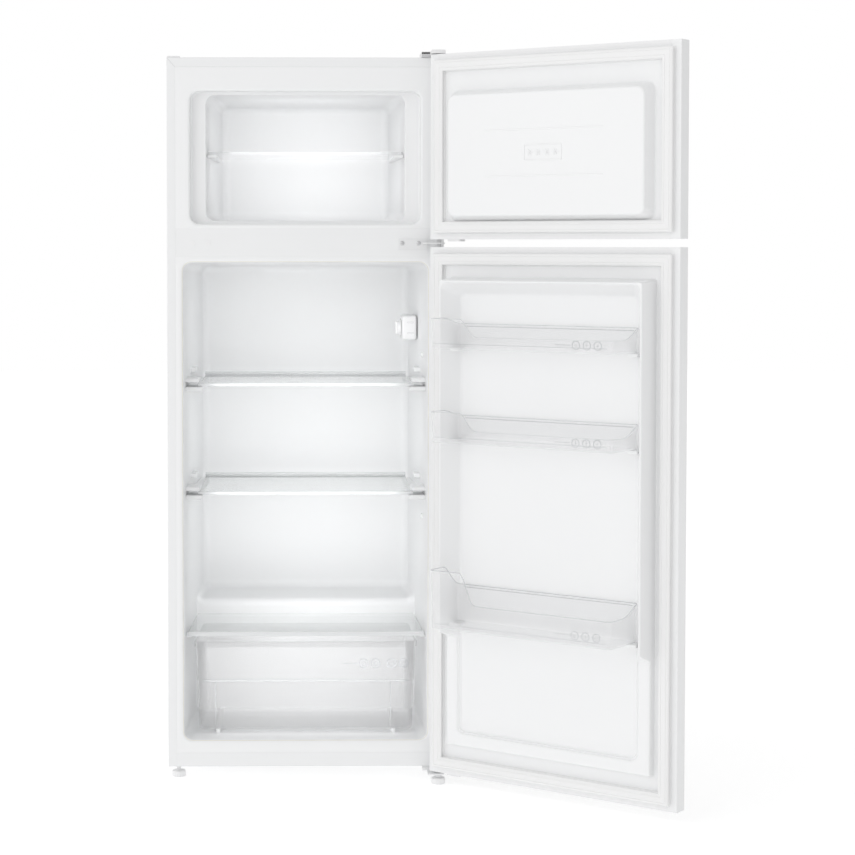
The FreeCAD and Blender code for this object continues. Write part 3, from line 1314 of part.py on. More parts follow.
def fridge_dyke(name, shrink, grow_pocket):
    """The ring-shaped dyke of the fridge door's liner, low in front of the drawer."""
    side = f"({FRIDGE_SIDE} - dyke_gap - {shrink})"
    low = f"({FRIDGE_BOTTOM} + dyke_foot + {shrink})"
    high = f"({FRIDGE_TOP} - dyke_head - {shrink})"
    split = f"({FRIDGE_BOTTOM} + dyke_foot + dyke_low_height)"
    root = f"{DOOR_BACK} - plastic"
    top = f"{DOOR_BACK} + dyke_rise - {shrink}"
    low_top = f"{DOOR_BACK} + dyke_low_rise - {shrink}"
    tall = tapered(name + "_tall", both(side), (f"{split} + {shrink}", high), (root, top),
                   both(f"{side} - dyke_bevel"), (f"{split} + dyke_slope + {shrink}", f"{high} - dyke_bevel"))
    lap = f"{split} + dyke_slope + dyke_lap"
    short = tapered(name + "_short", both(side), (low, lap), (root, low_top),
                    both(f"{side} - dyke_bevel / 2"), (f"{low} + dyke_bevel / 2", lap))
    ring = plus(name + "_solid", tall, short)
    floor = f"{DOOR_BACK} + pocket_rise - {shrink}"
    mouth = f"({FRIDGE_SIDE} - dyke_gap - dyke_width + {grow_pocket})"
    bottom = f"({POCKET_SIDE} + {grow_pocket})"
    base_z = (f"{FRIDGE_BOTTOM} + dyke_foot + dyke_width + pocket_slope - {grow_pocket}",
              f"{FRIDGE_TOP} - dyke_head - dyke_width - pocket_slope + {grow_pocket}")
    mouth_z = (f"{FRIDGE_BOTTOM} + dyke_foot + dyke_width - {grow_pocket}",
               f"{FRIDGE_TOP} - dyke_head - dyke_width + {grow_pocket}")
    room = tapered(name + "_room", both(bottom), base_z, (floor, f"{DOOR_BACK} + dyke_rise"),
                   both(mouth), mouth_z)
    room = rounded(name + "_room_corners", room, number("dyke_corner"), runs("y"))
    return minus(name, ring, room)


def pin_seat(name, span):
    return rod(name, "bush_radius", (PIN_X, PIN_Y), span)


def door_block(label, x, y, z, fold):
    """A slab as wide as the door whose two front edges are folded round."""
    slab = block(label, x, y, z)
    return rounded(label + "_folds", slab, number(fold), every(runs("z"), lies("y", number(y[0]))))


def door_frame(label, low, high, inset, width, y):
    """A square frame set in from the door's edges."""
    outer = block(label + "_outer", both(f"{DOOR_SIDE} - ({inset})"), y,
                  (f"{low} + {inset}", f"{high} - ({inset})"))
    far = f"{inset} + {width}"
    inner = block(label + "_inner", both(f"{DOOR_SIDE} - ({far})"), (f"{y[0]} - 1", f"{y[1]} + 1"),
                  (f"{low} + {far}", f"{high} - ({far})"))
    return minus(label, outer, inner)


def door_skin(name, low, high):
    """The steel sheet: front, two sides and a return round the back."""
    past = (f"{low} - 1", f"{high} + 1")
    outside = door_block(name + "_outside", both(DOOR_SIDE), (DOOR_FRONT, DOOR_BACK), (low, high),
                         "door_fold")
    inside = door_block(name + "_inside", DOOR_CORE_X, (DOOR_CORE_FRONT, f"{DOOR_BACK} - steel"), past,
                        "door_inner_fold")
    window = block(name + "_window", DOOR_WINDOW_X, (f"{DOOR_BACK} - steel - 1", f"{DOOR_BACK} + 1"), past)
    keep_on_door(name + "_skin", minus(name + "_sheet", outside, inside, window))


def door_ends(name, caps, seats):
    """The moulded end caps, and the bushes that ride on the hinge pins."""
    cap_pieces = []
    bushes = []
    for end in ("top", "bottom"):
        label = f"{name}_{end}"
        slab = door_block(label + "_slab", DOOR_CORE_X, (DOOR_CORE_FRONT, f"{DOOR_BACK} - steel"), caps[end],
                          "door_inner_fold")
        lip = block(label + "_lip", DOOR_WINDOW_X, (f"{DOOR_BACK} - steel - 1", DOOR_BACK), caps[end])
        cap_pieces.append(minus(label + "_cap", plus(label + "_cap_solid", slab, lip),
                                pin_seat(label + "_seat", seats[end])))
        low, high = seats[end]
        open_end = 1 if end == "top" else -1
        bore = rod(label + "_bore", "pin_radius + pin_clearance", (PIN_X, PIN_Y),
                   (f"{low} + {open_end}", f"{high} + {open_end}"))
        bushes.append(minus(label + "_bush", pin_seat(label + "_bush_solid", seats[end]), bore))
    keep_on_door(name + "_end_caps", *cap_pieces)
    keep_on_door(name + "_bushes", *bushes)


def door_gasket(name, low, high):
    """The seal, with a groove along the middle of its back for the liner's channel."""
    seal = door_frame(name + "_seal", low, high, "gasket_inset", "gasket_width", (DOOR_BACK, "-gasket_gap"))
    middle = "gasket_inset + (gasket_width - gasket_channel) / 2"
    groove = door_frame(name + "_seal_groove", low, high, middle, "gasket_channel",
                        (DOOR_BACK, f"{DOOR_BACK} + gasket_groove"))
    keep_on_door(name + "_gasket", minus(name + "_gasket_shape", seal, groove))


def door_stop(name, low):
    """The block under the hinge corner that limits the swing."""
    near = f"{DOOR_SIDE} - door_stop_inset"
    stop = block(name + "_stop_block", (f"{near} - door_stop_length", near),
                 (f"{DOOR_FRONT} + door_stop_front", f"{DOOR_BACK} - door_stop_back"),
                 (f"{low} - door_stop_height", low))
    keep_on_door(name + "_stop", rounded(name + "_stop_corners", stop, number("door_stop_corner"), runs("z")))


def door(name, low, high, raised, hollow, extras):
    """One door, drawn closed: skin, end caps, bushes, foam, liner, gasket and stop."""
    door_skin(name, low, high)
    caps = {"top": (f"{high} - door_cap", high), "bottom": (low, f"{low} + door_cap")}
    seats = {"top": (f"{high} - bush_length", high), "bottom": (low, f"{low} + bush_length")}
    door_ends(name, caps, seats)
    core_z = (f"{low} + door_cap", f"{high} - door_cap")
    core = door_block(name + "_core", DOOR_CORE_X, (DOOR_CORE_FRONT, f"{DOOR_BACK} - plastic"), core_z,
                      "door_inner_fold")
    voids = [pin_seat(f"{name}_foam_seat_{end}", seat) for end, seat in seats.items()]
    whole = plus(name + "_foam_solid", core, hollow)
    keep_on_door(name + "_foam", minus(name + "_foam_shape", whole, *voids))
    plate = block(name + "_rim", DOOR_WINDOW_X, (f"{DOOR_BACK} - plastic", DOOR_BACK), core_z)
    whole = plus(name + "_liner_solid", plate, raised, *extras)
    keep_on_door(name + "_liner", minus(name + "_liner_shape", whole, hollow))
    door_gasket(name, low, high)
    door_stop(name, low)


RACKS = {
    "upper_rack": (f"({FRIDGE_TOP} - upper_rack_drop)", "rack_back", "rack_front", "rack_tongue"),
    "middle_rack": (f"({FRIDGE_TOP} - middle_rack_drop)", "rack_back", "rack_front", "rack_tongue"),
    "bottle_rack": ("(base_height + bottle_rack_rise)", "bottle_rack_back", "bottle_rack_front",
                    "bottle_rack_tongue"),
}


def rack_lugs():
    """Pairs of lugs on the dyke's inner faces that the door racks sit on."""
    lugs = []
    for name, (level, *_) in RACKS.items():
        for hand, way in (("left", -1), ("right", 1)):
            across = sorted_span(way, f"{POCKET_SIDE} - lug_width", f"{POCKET_SIDE} + lug_root")
            lugs.append(block(f"{name}_lug_{hand}", across,
                              (f"{DOOR_BACK} + lug_lift", f"{DOOR_BACK} + lug_lift + lug_length"),
                              (f"{level} - rest_gap - lug_height", f"{level} - rest_gap")))
    return lugs


def rack(name, level, back, front, tongue):
    """A clear door rack: low in front, with a tongue that rises towards the hinge."""
    wall = "rack_wall"
    start = f"({DOOR_BACK} + pocket_rise + rack_floor_gap)"
    end = f"({start} + rack_depth)"
    side = f"({POCKET_SIDE} - rack_gap)"
    top = f"{level} + {tongue}"
    outer = tapered(name + "_outer", both(side), (level, top), (start, end),
                    both(f"{side} + rack_flare"), (level, top))
    outer = rounded(name + "_outer_corners", outer, number("rack_corner"),
                    every(runs("z"), lies("y", number(end))))
    room_z = (f"{level} + {wall}", f"{top} + 1")
    inner = tapered(name + "_inner", both(f"{side} - {wall}"), room_z,
                    (f"{start} + {wall}", f"{end} - {wall}"), both(f"{side} + rack_flare - {wall}"), room_z)
    inner = rounded(name + "_inner_corners", inner, number(f"rack_corner - {wall}"),
                    every(runs("z"), lies("y", number(f"{end} - {wall}"))))
    above_back = block(name + "_above_back", both(SIDE), (f"{start} - 1", f"{start} + rack_back_depth"),
                       (f"{level} + {back}", f"{top} + 1"))
    tongue_start = f"({side} + rack_flare - tongue_width)"
    slope_start = f"({tongue_start} - tongue_slope)"
    points = [(f"-{SIDE}", f"{level} + {front}"), (slope_start, f"{level} + {front}"),
              (f"{slope_start} + tongue_ease", f"{level} + {front} + tongue_ease_rise"),
              (f"{tongue_start} - tongue_ease", f"{top} - tongue_ease_rise"), (tongue_start, top),
              (SIDE, top), (SIDE, f"{top} + 2"), (f"-{SIDE}", f"{top} + 2")]
    profile = plate_body(name + "_above_front", "XZ_Plane", points, "rack_depth - rack_back_depth + 1",
                         f"-({end} + 1)")
    keep_on_door(name, minus(name + "_shape", outer, inner, above_back, profile))


def doors():
    plug, plug_core = freezer_plug("plug", "0"), freezer_plug("plug_core", "plastic")
    door("freezer_door", FREEZER_DOOR_BOTTOM, FREEZER_DOOR_TOP, plug, plug_core, [])
    dyke, dyke_core = fridge_dyke("dyke", "0", "0"), fridge_dyke("dyke_core", "plastic", "plastic")
    door("fridge_door", FRIDGE_DOOR_BOTTOM, FRIDGE_DOOR_TOP, dyke, dyke_core, rack_lugs())
    for name, sizes in RACKS.items():
        rack(name, *sizes)


def finish():
    """Check every feature and every piece, then write one STEP file for each."""
    doc.recompute()
    failed = [item.Label for item in doc.Objects if {"Invalid", "Error"} & set(item.State)]
    if failed:
        raise RuntimeError(f"features that failed: {failed}")
    os.makedirs("parts", exist_ok=True)
    for name, item in KEPT.items():
        shape = item.Shape
        if shape.isNull() or not shape.isValid() or not shape.Solids:
            raise RuntimeError(f"{name} has no sound solid")
        shape.exportStep(f"parts/{name}.step")
    print(f"{len(KEPT)} pieces, {len(doc.Objects)} features")


evaporators()
cabinet_shell()
back_panel()
cabinet_floor()
mullion()
cabinet_foam(fridge_liner(), freezer_liner())
hinges()
shelves()
crisper()
lamp_box()
compressor_rail()
compressor()
relay_and_gland()
tray_and_drier()
tubes()
condenser()
doors()
finish()
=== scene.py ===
import json
import math

import bmesh
import bpy
from mathutils import Matrix, Vector


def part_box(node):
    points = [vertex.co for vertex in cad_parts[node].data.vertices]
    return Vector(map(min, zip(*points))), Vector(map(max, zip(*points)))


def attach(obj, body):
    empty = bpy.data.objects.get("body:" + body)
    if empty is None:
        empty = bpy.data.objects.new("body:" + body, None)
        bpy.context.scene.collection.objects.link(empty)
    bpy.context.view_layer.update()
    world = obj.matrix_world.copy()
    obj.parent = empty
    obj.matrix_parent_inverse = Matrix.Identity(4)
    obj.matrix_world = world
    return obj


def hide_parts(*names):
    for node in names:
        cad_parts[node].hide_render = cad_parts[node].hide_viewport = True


# A white top freezer refrigerator with both doors open.  Lengths are metres, in the frame of
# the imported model: +X to the right, +Y to the back, +Z up, the floor at z 0.  Sizes below are
# those of mouldings; places come from the boxes of the nodes that they belong to.

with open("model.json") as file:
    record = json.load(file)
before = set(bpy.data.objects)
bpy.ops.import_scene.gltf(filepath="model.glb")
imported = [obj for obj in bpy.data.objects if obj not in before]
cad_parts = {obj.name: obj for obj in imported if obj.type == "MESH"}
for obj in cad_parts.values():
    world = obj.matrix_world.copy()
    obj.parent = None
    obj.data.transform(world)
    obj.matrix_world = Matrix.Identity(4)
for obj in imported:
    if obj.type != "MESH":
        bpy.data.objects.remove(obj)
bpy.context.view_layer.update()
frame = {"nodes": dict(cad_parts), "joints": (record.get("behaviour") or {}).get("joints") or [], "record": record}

CORNER_STEPS = 7
SMOOTH_ANGLE = math.radians(38)
WELD = 0.00002
# The widest rounding that a block's thinnest side can take, as a share of that side.
ROUND_SHARE = 0.45


# ---------------------------------------------------------------- finishes
class Value:
    """What a node gives out.  Arithmetic on values adds Math nodes."""

    def __init__(self, finish, socket):
        self.finish = finish
        self.socket = socket

    def maths(self, operation, *terms):
        return self.finish.node("ShaderNodeMath", {"operation": operation}, dict(enumerate(terms)))

    def __add__(self, other):
        return self.maths("ADD", self, other)

    def __radd__(self, other):
        return self.maths("ADD", other, self)

    def __sub__(self, other):
        return self.maths("SUBTRACT", self, other)

    def __rsub__(self, other):
        return self.maths("SUBTRACT", other, self)

    def __mul__(self, other):
        return self.maths("MULTIPLY", self, other)

    def __rmul__(self, other):
        return self.maths("MULTIPLY", other, self)

    def __pow__(self, other):
        return self.maths("POWER", self, other)


class Nodes:
    """A node tree under construction; node() adds any node and returns what it gives out."""

    def __init__(self, owner):
        owner.use_nodes = True
        self.tree = owner.node_tree
        self.tree.nodes.clear()

    def node(self, kind, settings=None, sockets=None, output=0):
        made = self.tree.nodes.new(kind)
        for name, value in (settings or {}).items():
            setattr(made, name, value)
        for name, value in (sockets or {}).items():
            if isinstance(value, Value):
                self.tree.links.new(value.socket, made.inputs[name])
            else:
                made.inputs[name].default_value = value
        return Value(self, made.outputs[output]) if made.outputs else None

    def ramp(self, value, low, high, first=0.0, last=1.0):
        """Stretch the part of value between low and high to first..last."""
        sockets = {"Value": value, "From Min": low, "From Max": high, "To Min": first, "To Max": last}
        return self.node("ShaderNodeMapRange", None, sockets)


class Finish(Nodes):
    """A material under construction, placed by the model's own frame."""

    def __init__(self, name):
        self.material = bpy.data.materials.new(name)
        super().__init__(self.material)
        self.place = self.node("ShaderNodeTexCoord", output="Object")

    def grain(self, scale, detail=2.0, stretch=(1, 1, 1)):
        """Soft noise from 0 to 1, with about scale cells to the metre."""
        place = self.node("ShaderNodeMapping", None, {"Vector": self.place, "Scale": stretch})
        return self.node("ShaderNodeTexNoise", None, {"Vector": place, "Scale": scale, "Detail": detail})

    def cells(self, scale, output="Distance"):
        return self.node("ShaderNodeTexVoronoi", None, {"Vector": self.place, "Scale": scale}, output)

    def blend(self, share, first, second):
        """A colour between two colours."""
        sockets = {0: share, 6: colour(first), 7: colour(second)}
        return self.node("ShaderNodeMix", {"data_type": "RGBA"}, sockets, output=2)

    def relief(self, height, depth):
        """A normal from a height of 0..1 that stands for depth metres."""
        return self.node("ShaderNodeBump", None, {"Height": height, "Distance": depth, "Strength": 1.0})

    def surface(self, **sockets):
        named = {name.replace("_", " "): value for name, value in sockets.items()}
        shader = self.node("ShaderNodeBsdfPrincipled", None, named)
        self.node("ShaderNodeOutputMaterial", None, {"Surface": shader})
        return self.material


def colour(value):
    return value if isinstance(value, Value) else (*value[:3], 1.0)


def shade_of(tone, factor):
    return tuple(channel * factor for channel in tone[:3])


# Grain is given in cells to the metre, and relief in metres.
CLOUD_GRAIN = 6.0
WEAR_GRAIN = 40.0
SPANGLE_CELLS = 160.0
SPANGLE_SHADE = 0.78
ZINC_GRAIN = 900.0
STAIN_GRAIN = 28.0
STAIN_SHADE = 0.45
DRAWN_GRAIN = 500.0
DRAWN_STRETCH = (1, 1, 0.05)
FOAM_CELLS = 700.0
FOAM_SKIN_GRAIN = 25.0
FOAM_SHADE = 0.8
FOAM_DEPTH = 0.0004
FLOW_GRAIN = 24.0
FLOW_STRETCH = (1, 1, 0.3)
FLOW_SHADE = 0.985
FLOW_ROUGHNESS = 0.04
EDGE_BLEND = 0.35
EDGE_FALL = 1.6


def plain_finish(name, tone, grain, spread, rough, rough_spread, depth, constants):
    """Paint, plastic or rubber: a slightly uneven colour and gloss over a fine relief."""
    finish = Finish(name)
    cloud = finish.grain(CLOUD_GRAIN, 3.0)
    fine = finish.grain(grain)
    base = finish.blend(cloud, shade_of(tone, 1.0 - spread), tone)
    roughness = rough + rough_spread * finish.grain(WEAR_GRAIN)
    return finish.surface(Base_Color=base, Roughness=roughness, Normal=finish.relief(fine, depth), **constants)


def galvanised_finish(name, tone):
    """Zinc-coated sheet: flat crystals a few millimetres across, each with its own tone."""
    finish = Finish(name)
    spangle = finish.cells(SPANGLE_CELLS, "Color")
    share = finish.node("ShaderNodeSeparateColor", None, {"Color": spangle})
    base = finish.blend(share, shade_of(tone, SPANGLE_SHADE), tone)
    relief = finish.relief(finish.grain(ZINC_GRAIN), 0.00002)
    return finish.surface(Base_Color=base, Roughness=0.34 + 0.18 * share, Metallic=1.0, Normal=relief)


def copper_finish(name, tone):
    """Drawn tube, bright where it was cleaned and brown where heat has marked it."""
    finish = Finish(name)
    stain = finish.ramp(finish.grain(STAIN_GRAIN, 4.0), 0.45, 0.7)
    base = finish.blend(stain, tone, shade_of(tone, STAIN_SHADE))
    relief = finish.relief(finish.grain(DRAWN_GRAIN, 2.0, DRAWN_STRETCH), 0.00003)
    return finish.surface(Base_Color=base, Roughness=0.24 + 0.28 * stain, Metallic=1.0, Normal=relief)


def foam_finish(name, tone):
    """Rigid foam: small open cells under a darker skin in places."""
    finish = Finish(name)
    cell = finish.cells(FOAM_CELLS)
    base = finish.blend(finish.grain(FOAM_SKIN_GRAIN, 3.0), shade_of(tone, FOAM_SHADE), tone)
    return finish.surface(Base_Color=base, Roughness=0.9 - 0.1 * cell, Normal=finish.relief(cell, FOAM_DEPTH))


def clear_finish(name, tone, face_alpha, edge_alpha, rough, depth):
    """A clear sheet: faint where it faces the eye, denser where it is seen edge on."""
    finish = Finish(name)
    slant = finish.node("ShaderNodeLayerWeight", None, {"Blend": EDGE_BLEND}, output="Facing")
    alpha = face_alpha + (edge_alpha - face_alpha) * slant ** EDGE_FALL
    flow = finish.grain(FLOW_GRAIN, 2.0, FLOW_STRETCH)
    base = finish.blend(flow, shade_of(tone, FLOW_SHADE), tone)
    roughness = rough + FLOW_ROUGHNESS * flow
    return finish.surface(Base_Color=base, Roughness=roughness, Alpha=alpha, Normal=finish.relief(flow, depth))


# The whites are held back a little, so that their modelling shows against a white studio.
WHITE_HOLD = 0.925
TONES = {row["slot"]: shade_of(row["base_color"], WHITE_HOLD) for row in frame["record"]["materials"]}

# Each row: grain cells to the metre, spread of tone, roughness and its spread, relief, and gloss.
PLAIN = {
    "white_enamel": (900, 0.012, 0.30, 0.08, 0.000012, {"Coat_Weight": 0.25, "Coat_Roughness": 0.12}),
    "white_liner": (500, 0.010, 0.36, 0.10, 0.000012, {}),
    "white_plastic": (1400, 0.015, 0.40, 0.10, 0.000015, {}),
    "white_seal": (1100, 0.030, 0.52, 0.12, 0.000020, {"Sheen_Weight": 0.08}),
    "white_coated_steel": (1500, 0.020, 0.36, 0.12, 0.000020, {}),
    "black_enamel": (800, 0.250, 0.32, 0.16, 0.000040, {"Coat_Weight": 0.2}),
    "black_plastic": (1600, 0.150, 0.48, 0.12, 0.000030, {}),
    "black_rubber": (1900, 0.200, 0.72, 0.14, 0.000040, {}),
    "grey_plastic": (1500, 0.060, 0.46, 0.12, 0.000025, {}),
    "bush_plastic": (1500, 0.030, 0.42, 0.10, 0.000020, {}),
    "zinc": (1200, 0.100, 0.30, 0.18, 0.000020, {"Metallic": 1.0}),
    "aluminium": (1200, 0.080, 0.34, 0.14, 0.000020, {"Metallic": 1.0}),
}

# Each row: tone, how much it hides seen square on and edge on, roughness, and relief.
CLEAR = {
    "clear_plastic": ((0.95, 0.955, 0.965), 0.09, 0.50, 0.06, 0.0002),
    # The darker edge tone below paints shade along the rims, raised lines and marks of the clear racks and drawer,
    # where clear plastic seen edge on shows dark lines.
    "clear_edge_painted_shade": ((0.60, 0.615, 0.635), 0.42, 0.75, 0.08, 0.0001),
    "shelf_glass": ((0.90, 0.93, 0.93), 0.14, 0.5, 0.03, 0.00005),
    "clear_trim": ((0.93, 0.94, 0.95), 0.72, 0.9, 0.16, 0.0001),
    "lamp_glass": ((0.95, 0.95, 0.93), 0.55, 0.85, 0.22, 0.0002),
}

# Shades of the thin lines that have no node of their own: tone first, then as in PLAIN.
LINES = {
    "seam_shade": ((0.60, 0.60, 0.605), 900, 0.05, 0.6, 0.1, 0.00002, {}),
    # The dark line tone below paints the shade inside the lamp housing's cooling slots and the screws' cross
    # recesses; on the dial it is the pointer's own dark colour.
    "painted_shade_and_pointer_ink": ((0.16, 0.16, 0.165), 900, 0.1, 0.7, 0.1, 0.00002, {}),
}

FINISHES = {name: plain_finish(name, TONES[name], *row) for name, row in PLAIN.items()}
FINISHES["galvanised"] = galvanised_finish("galvanised", TONES["galvanised"])
FINISHES["copper"] = copper_finish("copper", TONES["copper"])
FINISHES["foam"] = foam_finish("foam", TONES["foam"])
FINISHES.update({name: clear_finish(name, *row) for name, row in CLEAR.items()})
FINISHES.update({name: plain_finish(name, *row) for name, row in LINES.items()})


# ---------------------------------------------------------------- outlines
def ring(x, z, radius, levels=(), spots=()):
    """A rounded rectangle as (x, z) points, anticlockwise from the right side.

    levels are further heights on both upright sides, and spots further places along the low side."""
    centres = ((x[1] - radius, z[1] - radius), (x[0] + radius, z[1] - radius),
               (x[0] + radius, z[0] + radius), (x[1] - radius, z[0] + radius))
    points = []
    for corner, (centre_x, centre_z) in enumerate(centres):
        for step in range(CORNER_STEPS + 1):
            angle = math.radians(90 * (corner + step / CORNER_STEPS))
            points.append((centre_x + radius * math.cos(angle), centre_z + radius * math.sin(angle)))
        if corner == 1:
            points += [(x[0], level) for level in sorted(levels, reverse=True)]
        if corner == 2:
            points += [(spot, z[0]) for spot in sorted(spots)]
        if corner == 3:
            points += [(x[1], level) for level in sorted(levels)]
    return points


def standing(points, depth):
    """Lift (x, z) points into a loop at a depth, or at depth(x, z)."""
    return [Vector((x, depth(x, z) if callable(depth) else depth, z)) for x, z in points]


def lying(points, height):
    """Lay (x, y) points out as a loop at a height, or at height(x, y)."""
    return [Vector((x, y, height(x, y) if callable(height) else height)) for x, y in points]


def shrunk(span, amount, far=None):
    """A span with its low end raised by amount and its high end lowered by far, or by amount too."""
    return (span[0] + amount, span[1] - (amount if far is None else far))


def ease(value):
    """A smooth step from 0 to 1."""
    value = min(1.0, max(0.0, value))
    return value * value * (3 - 2 * value)


def arc(centre, radius, start, end, steps=5):
    """Points of an arc in a plane, from one angle in degrees to another."""
    angles = [math.radians(start + (end - start) * k / steps) for k in range(steps + 1)]
    return [(centre[0] + radius * math.cos(a), centre[1] + radius * math.sin(a)) for a in angles]


# ---------------------------------------------------------------- mesh work
# For a shape turned along an axis: the two directions across it, and its own.
AXES = {"z": (Vector((1, 0, 0)), Vector((0, 1, 0)), Vector((0, 0, 1))),
        "y": (Vector((1, 0, 0)), Vector((0, 0, 1)), Vector((0, 1, 0))),
        "x": (Vector((0, 1, 0)), Vector((0, 0, 1)), Vector((1, 0, 0)))}


class Moulding:
    """One piece under construction: skins, blocks and turned shapes in a single mesh."""

    def __init__(self):
        self.mesh = bmesh.new()

    def skin(self, loops, finish=0, caps=(False, False), wrap=False):
        """Faces between neighbouring loops; caps close the first and last, wrap joins last to first."""
        rows = [[self.mesh.verts.new(point) for point in loop] for loop in loops]
        pairs = list(zip(rows, rows[1:])) + ([(rows[-1], rows[0])] if wrap else [])
        made = []
        for low, high in pairs:
            for k in range(len(low)):
                after = (k + 1) % len(low)
                made.append(self.mesh.faces.new((low[k], low[after], high[after], high[k])))
        for wanted, row in zip(caps, (rows[0][::-1], rows[-1])):
            if wanted:
                made.append(self.mesh.faces.new(row))
        for face in made:
            face.material_index = finish

    def block(self, low, high, radius=0.0005, finish=0, segments=2):
        """A block between two corners with all its edges rounded."""
        low, high = Vector(map(min, low, high)), Vector(map(max, low, high))
        size = high - low
        matrix = Matrix.Translation((low + high) / 2) @ Matrix.Diagonal((*size, 1))
        made = bmesh.ops.create_cube(self.mesh, size=1, matrix=matrix)["verts"]
        before = {face for vertex in made for face in vertex.link_faces}
        edges = list(dict.fromkeys(edge for vertex in made for edge in vertex.link_edges))
        radius = min(radius, ROUND_SHARE * min(size))
        cut = bmesh.ops.bevel(self.mesh, geom=edges, offset=radius, segments=segments, affect="EDGES",
                              profile=0.5)
        for face in list(cut["faces"]) + [face for face in before if face.is_valid]:
            face.material_index = finish

    @staticmethod
    def rounds(profile, centre, along, steps, flute=None):
        """A loop round an axis for each (radius, distance) of a profile."""
        across, up, axis = AXES[along]
        loops = []
        for radius, distance in profile:
            loop = []
            for step in range(steps):
                angle = 2 * math.pi * step / steps
                reach = radius * (flute(angle, distance) if flute else 1.0)
                loop.append(Vector(centre) + across * reach * math.cos(angle) + up * reach * math.sin(angle)
                            + axis * distance)
            loops.append(loop)
        return loops

    def turn(self, profile, centre, along="z", finish=0, steps=32, flute=None):
        """A solid turned shape; flute(angle, distance) changes the radius."""
        self.skin(self.rounds(profile, centre, along, steps, flute), finish, caps=(True, True))

    def hoop(self, centre, radius, thickness, along="y", finish=0, steps=28):
        """A thin round bead, like the outline of a moulded symbol."""
        profile = arc((radius, 0), thickness, 0, 360, 8)[:-1]
        self.skin(self.rounds(profile, centre, along, steps), finish, wrap=True)

    def face_the_front(self):
        """Turn an open shell so that its flange looks forward and its wall goes behind it."""
        flange = min(self.mesh.faces, key=lambda face: face.calc_center_median().y)
        if flange.normal.y > 0:
            bmesh.ops.reverse_faces(self.mesh, faces=self.mesh.faces)

    def done(self, name, body, materials, replaces=(), swing=None, wall=0.0):
        """Turn the mesh into an object that rides on a body."""
        bmesh.ops.remove_doubles(self.mesh, verts=self.mesh.verts, dist=WELD)
        bmesh.ops.dissolve_degenerate(self.mesh, edges=self.mesh.edges, dist=WELD)
        bmesh.ops.recalc_face_normals(self.mesh, faces=self.mesh.faces)
        if wall:
            self.face_the_front()
        if swing is not None:
            self.mesh.transform(swing)
        data = bpy.data.meshes.new(name)
        self.mesh.to_mesh(data)
        self.mesh.free()
        for material in materials:
            data.materials.append(FINISHES[material])
        piece = bpy.data.objects.new(name, data)
        bpy.context.scene.collection.objects.link(piece)
        if wall:
            shell = piece.modifiers.new("wall", "SOLIDIFY")
            shell.thickness = wall
            shell.offset = -1.0
        data.shade_smooth()
        data.set_sharp_from_angle(angle=SMOOTH_ANGLE)
        even_faces(piece)
        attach(piece, body)
        if replaces:
            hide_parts(*replaces)


def even_faces(piece):
    """Let broad flat faces shade flat right up to the rounds that they meet."""
    normals = piece.modifiers.new("even_faces", "WEIGHTED_NORMAL")
    normals.mode = "FACE_AREA"
    normals.weight = 100
    normals.keep_sharp = True


# ---------------------------------------------------------------- doors swing on one pin line
def swing_of(joint_name):
    """The turn from the closed door, as it is drawn here, to the open door of the model at rest."""
    joint = next(joint for joint in frame["joints"] if joint["name"] == joint_name)
    pin = Vector(joint["pos_m"])
    opened = Matrix.Rotation(math.radians(-joint["range_deg"][0]), 4, "Z")
    return Matrix.Translation(pin) @ opened @ Matrix.Translation(-pin)


SWING = swing_of("freezer_door_hinge")
SHUT = SWING.inverted()


def corners_of(points):
    """The low and the high corner of the box round some points."""
    return [Vector([end(point[k] for point in points) for k in range(3)]) for end in (min, max)]


def closed_box(node):
    """A door node's corners as they are when the door is shut."""
    return corners_of([SHUT @ vertex.co for vertex in frame["nodes"][node].data.vertices])


def spans(box):
    """A box as three (low, high) pairs."""
    return [(box[0][k], box[1][k]) for k in range(3)]


# ---------------------------------------------------------------- compartment liners
LINER_SHEET = 0.0015
LINER_WALL = 0.0012
EDGE_CORNER = 0.0006
MOUTH_ROUND = 0.006
MOUTH_MARGIN = 0.001
FRIDGE_SIDE_LIP = 0.0147
FRIDGE_FOOT = 0.0255
FRIDGE_HEAD = 0.0118
FRIDGE_TAPER = 0.0189
FRIDGE_CORNER = 0.017
LEAST_CORNER = 0.0008
HUMP_FRONT = 0.262
HUMP_TOP = 0.320
HUMP_ROUND = 0.016
HUMP_FOOT = 0.008
HUMP_FOOT_ROUND = 0.006


def flange_and_mouth(flange_x, flange_z, x, z, corner, roll):
    """Loops from a flange's outer edge to just inside the rounded edge of the opening."""
    loops = [standing(ring(flange_x, flange_z, EDGE_CORNER), 0.0)]
    margin = -roll - MOUTH_MARGIN
    loops.append(standing(ring(shrunk(x, margin), shrunk(z, margin), corner + roll), 0.0))
    for angle in (0, 18, 36, 54, 72, 90):
        spread = roll * (1 - math.sin(math.radians(angle)))
        opening = ring(shrunk(x, -spread), shrunk(z, -spread), corner + spread)
        loops.append(standing(opening, turn_in(roll, angle)))
    return loops


def turn_in(radius, angle):
    """How far a quarter round has gone in at an angle in degrees."""
    return radius * (1 - math.cos(math.radians(angle)))


def turn_along(radius, angle):
    """How far a quarter round has gone along at an angle in degrees."""
    return radius * math.sin(math.radians(angle))


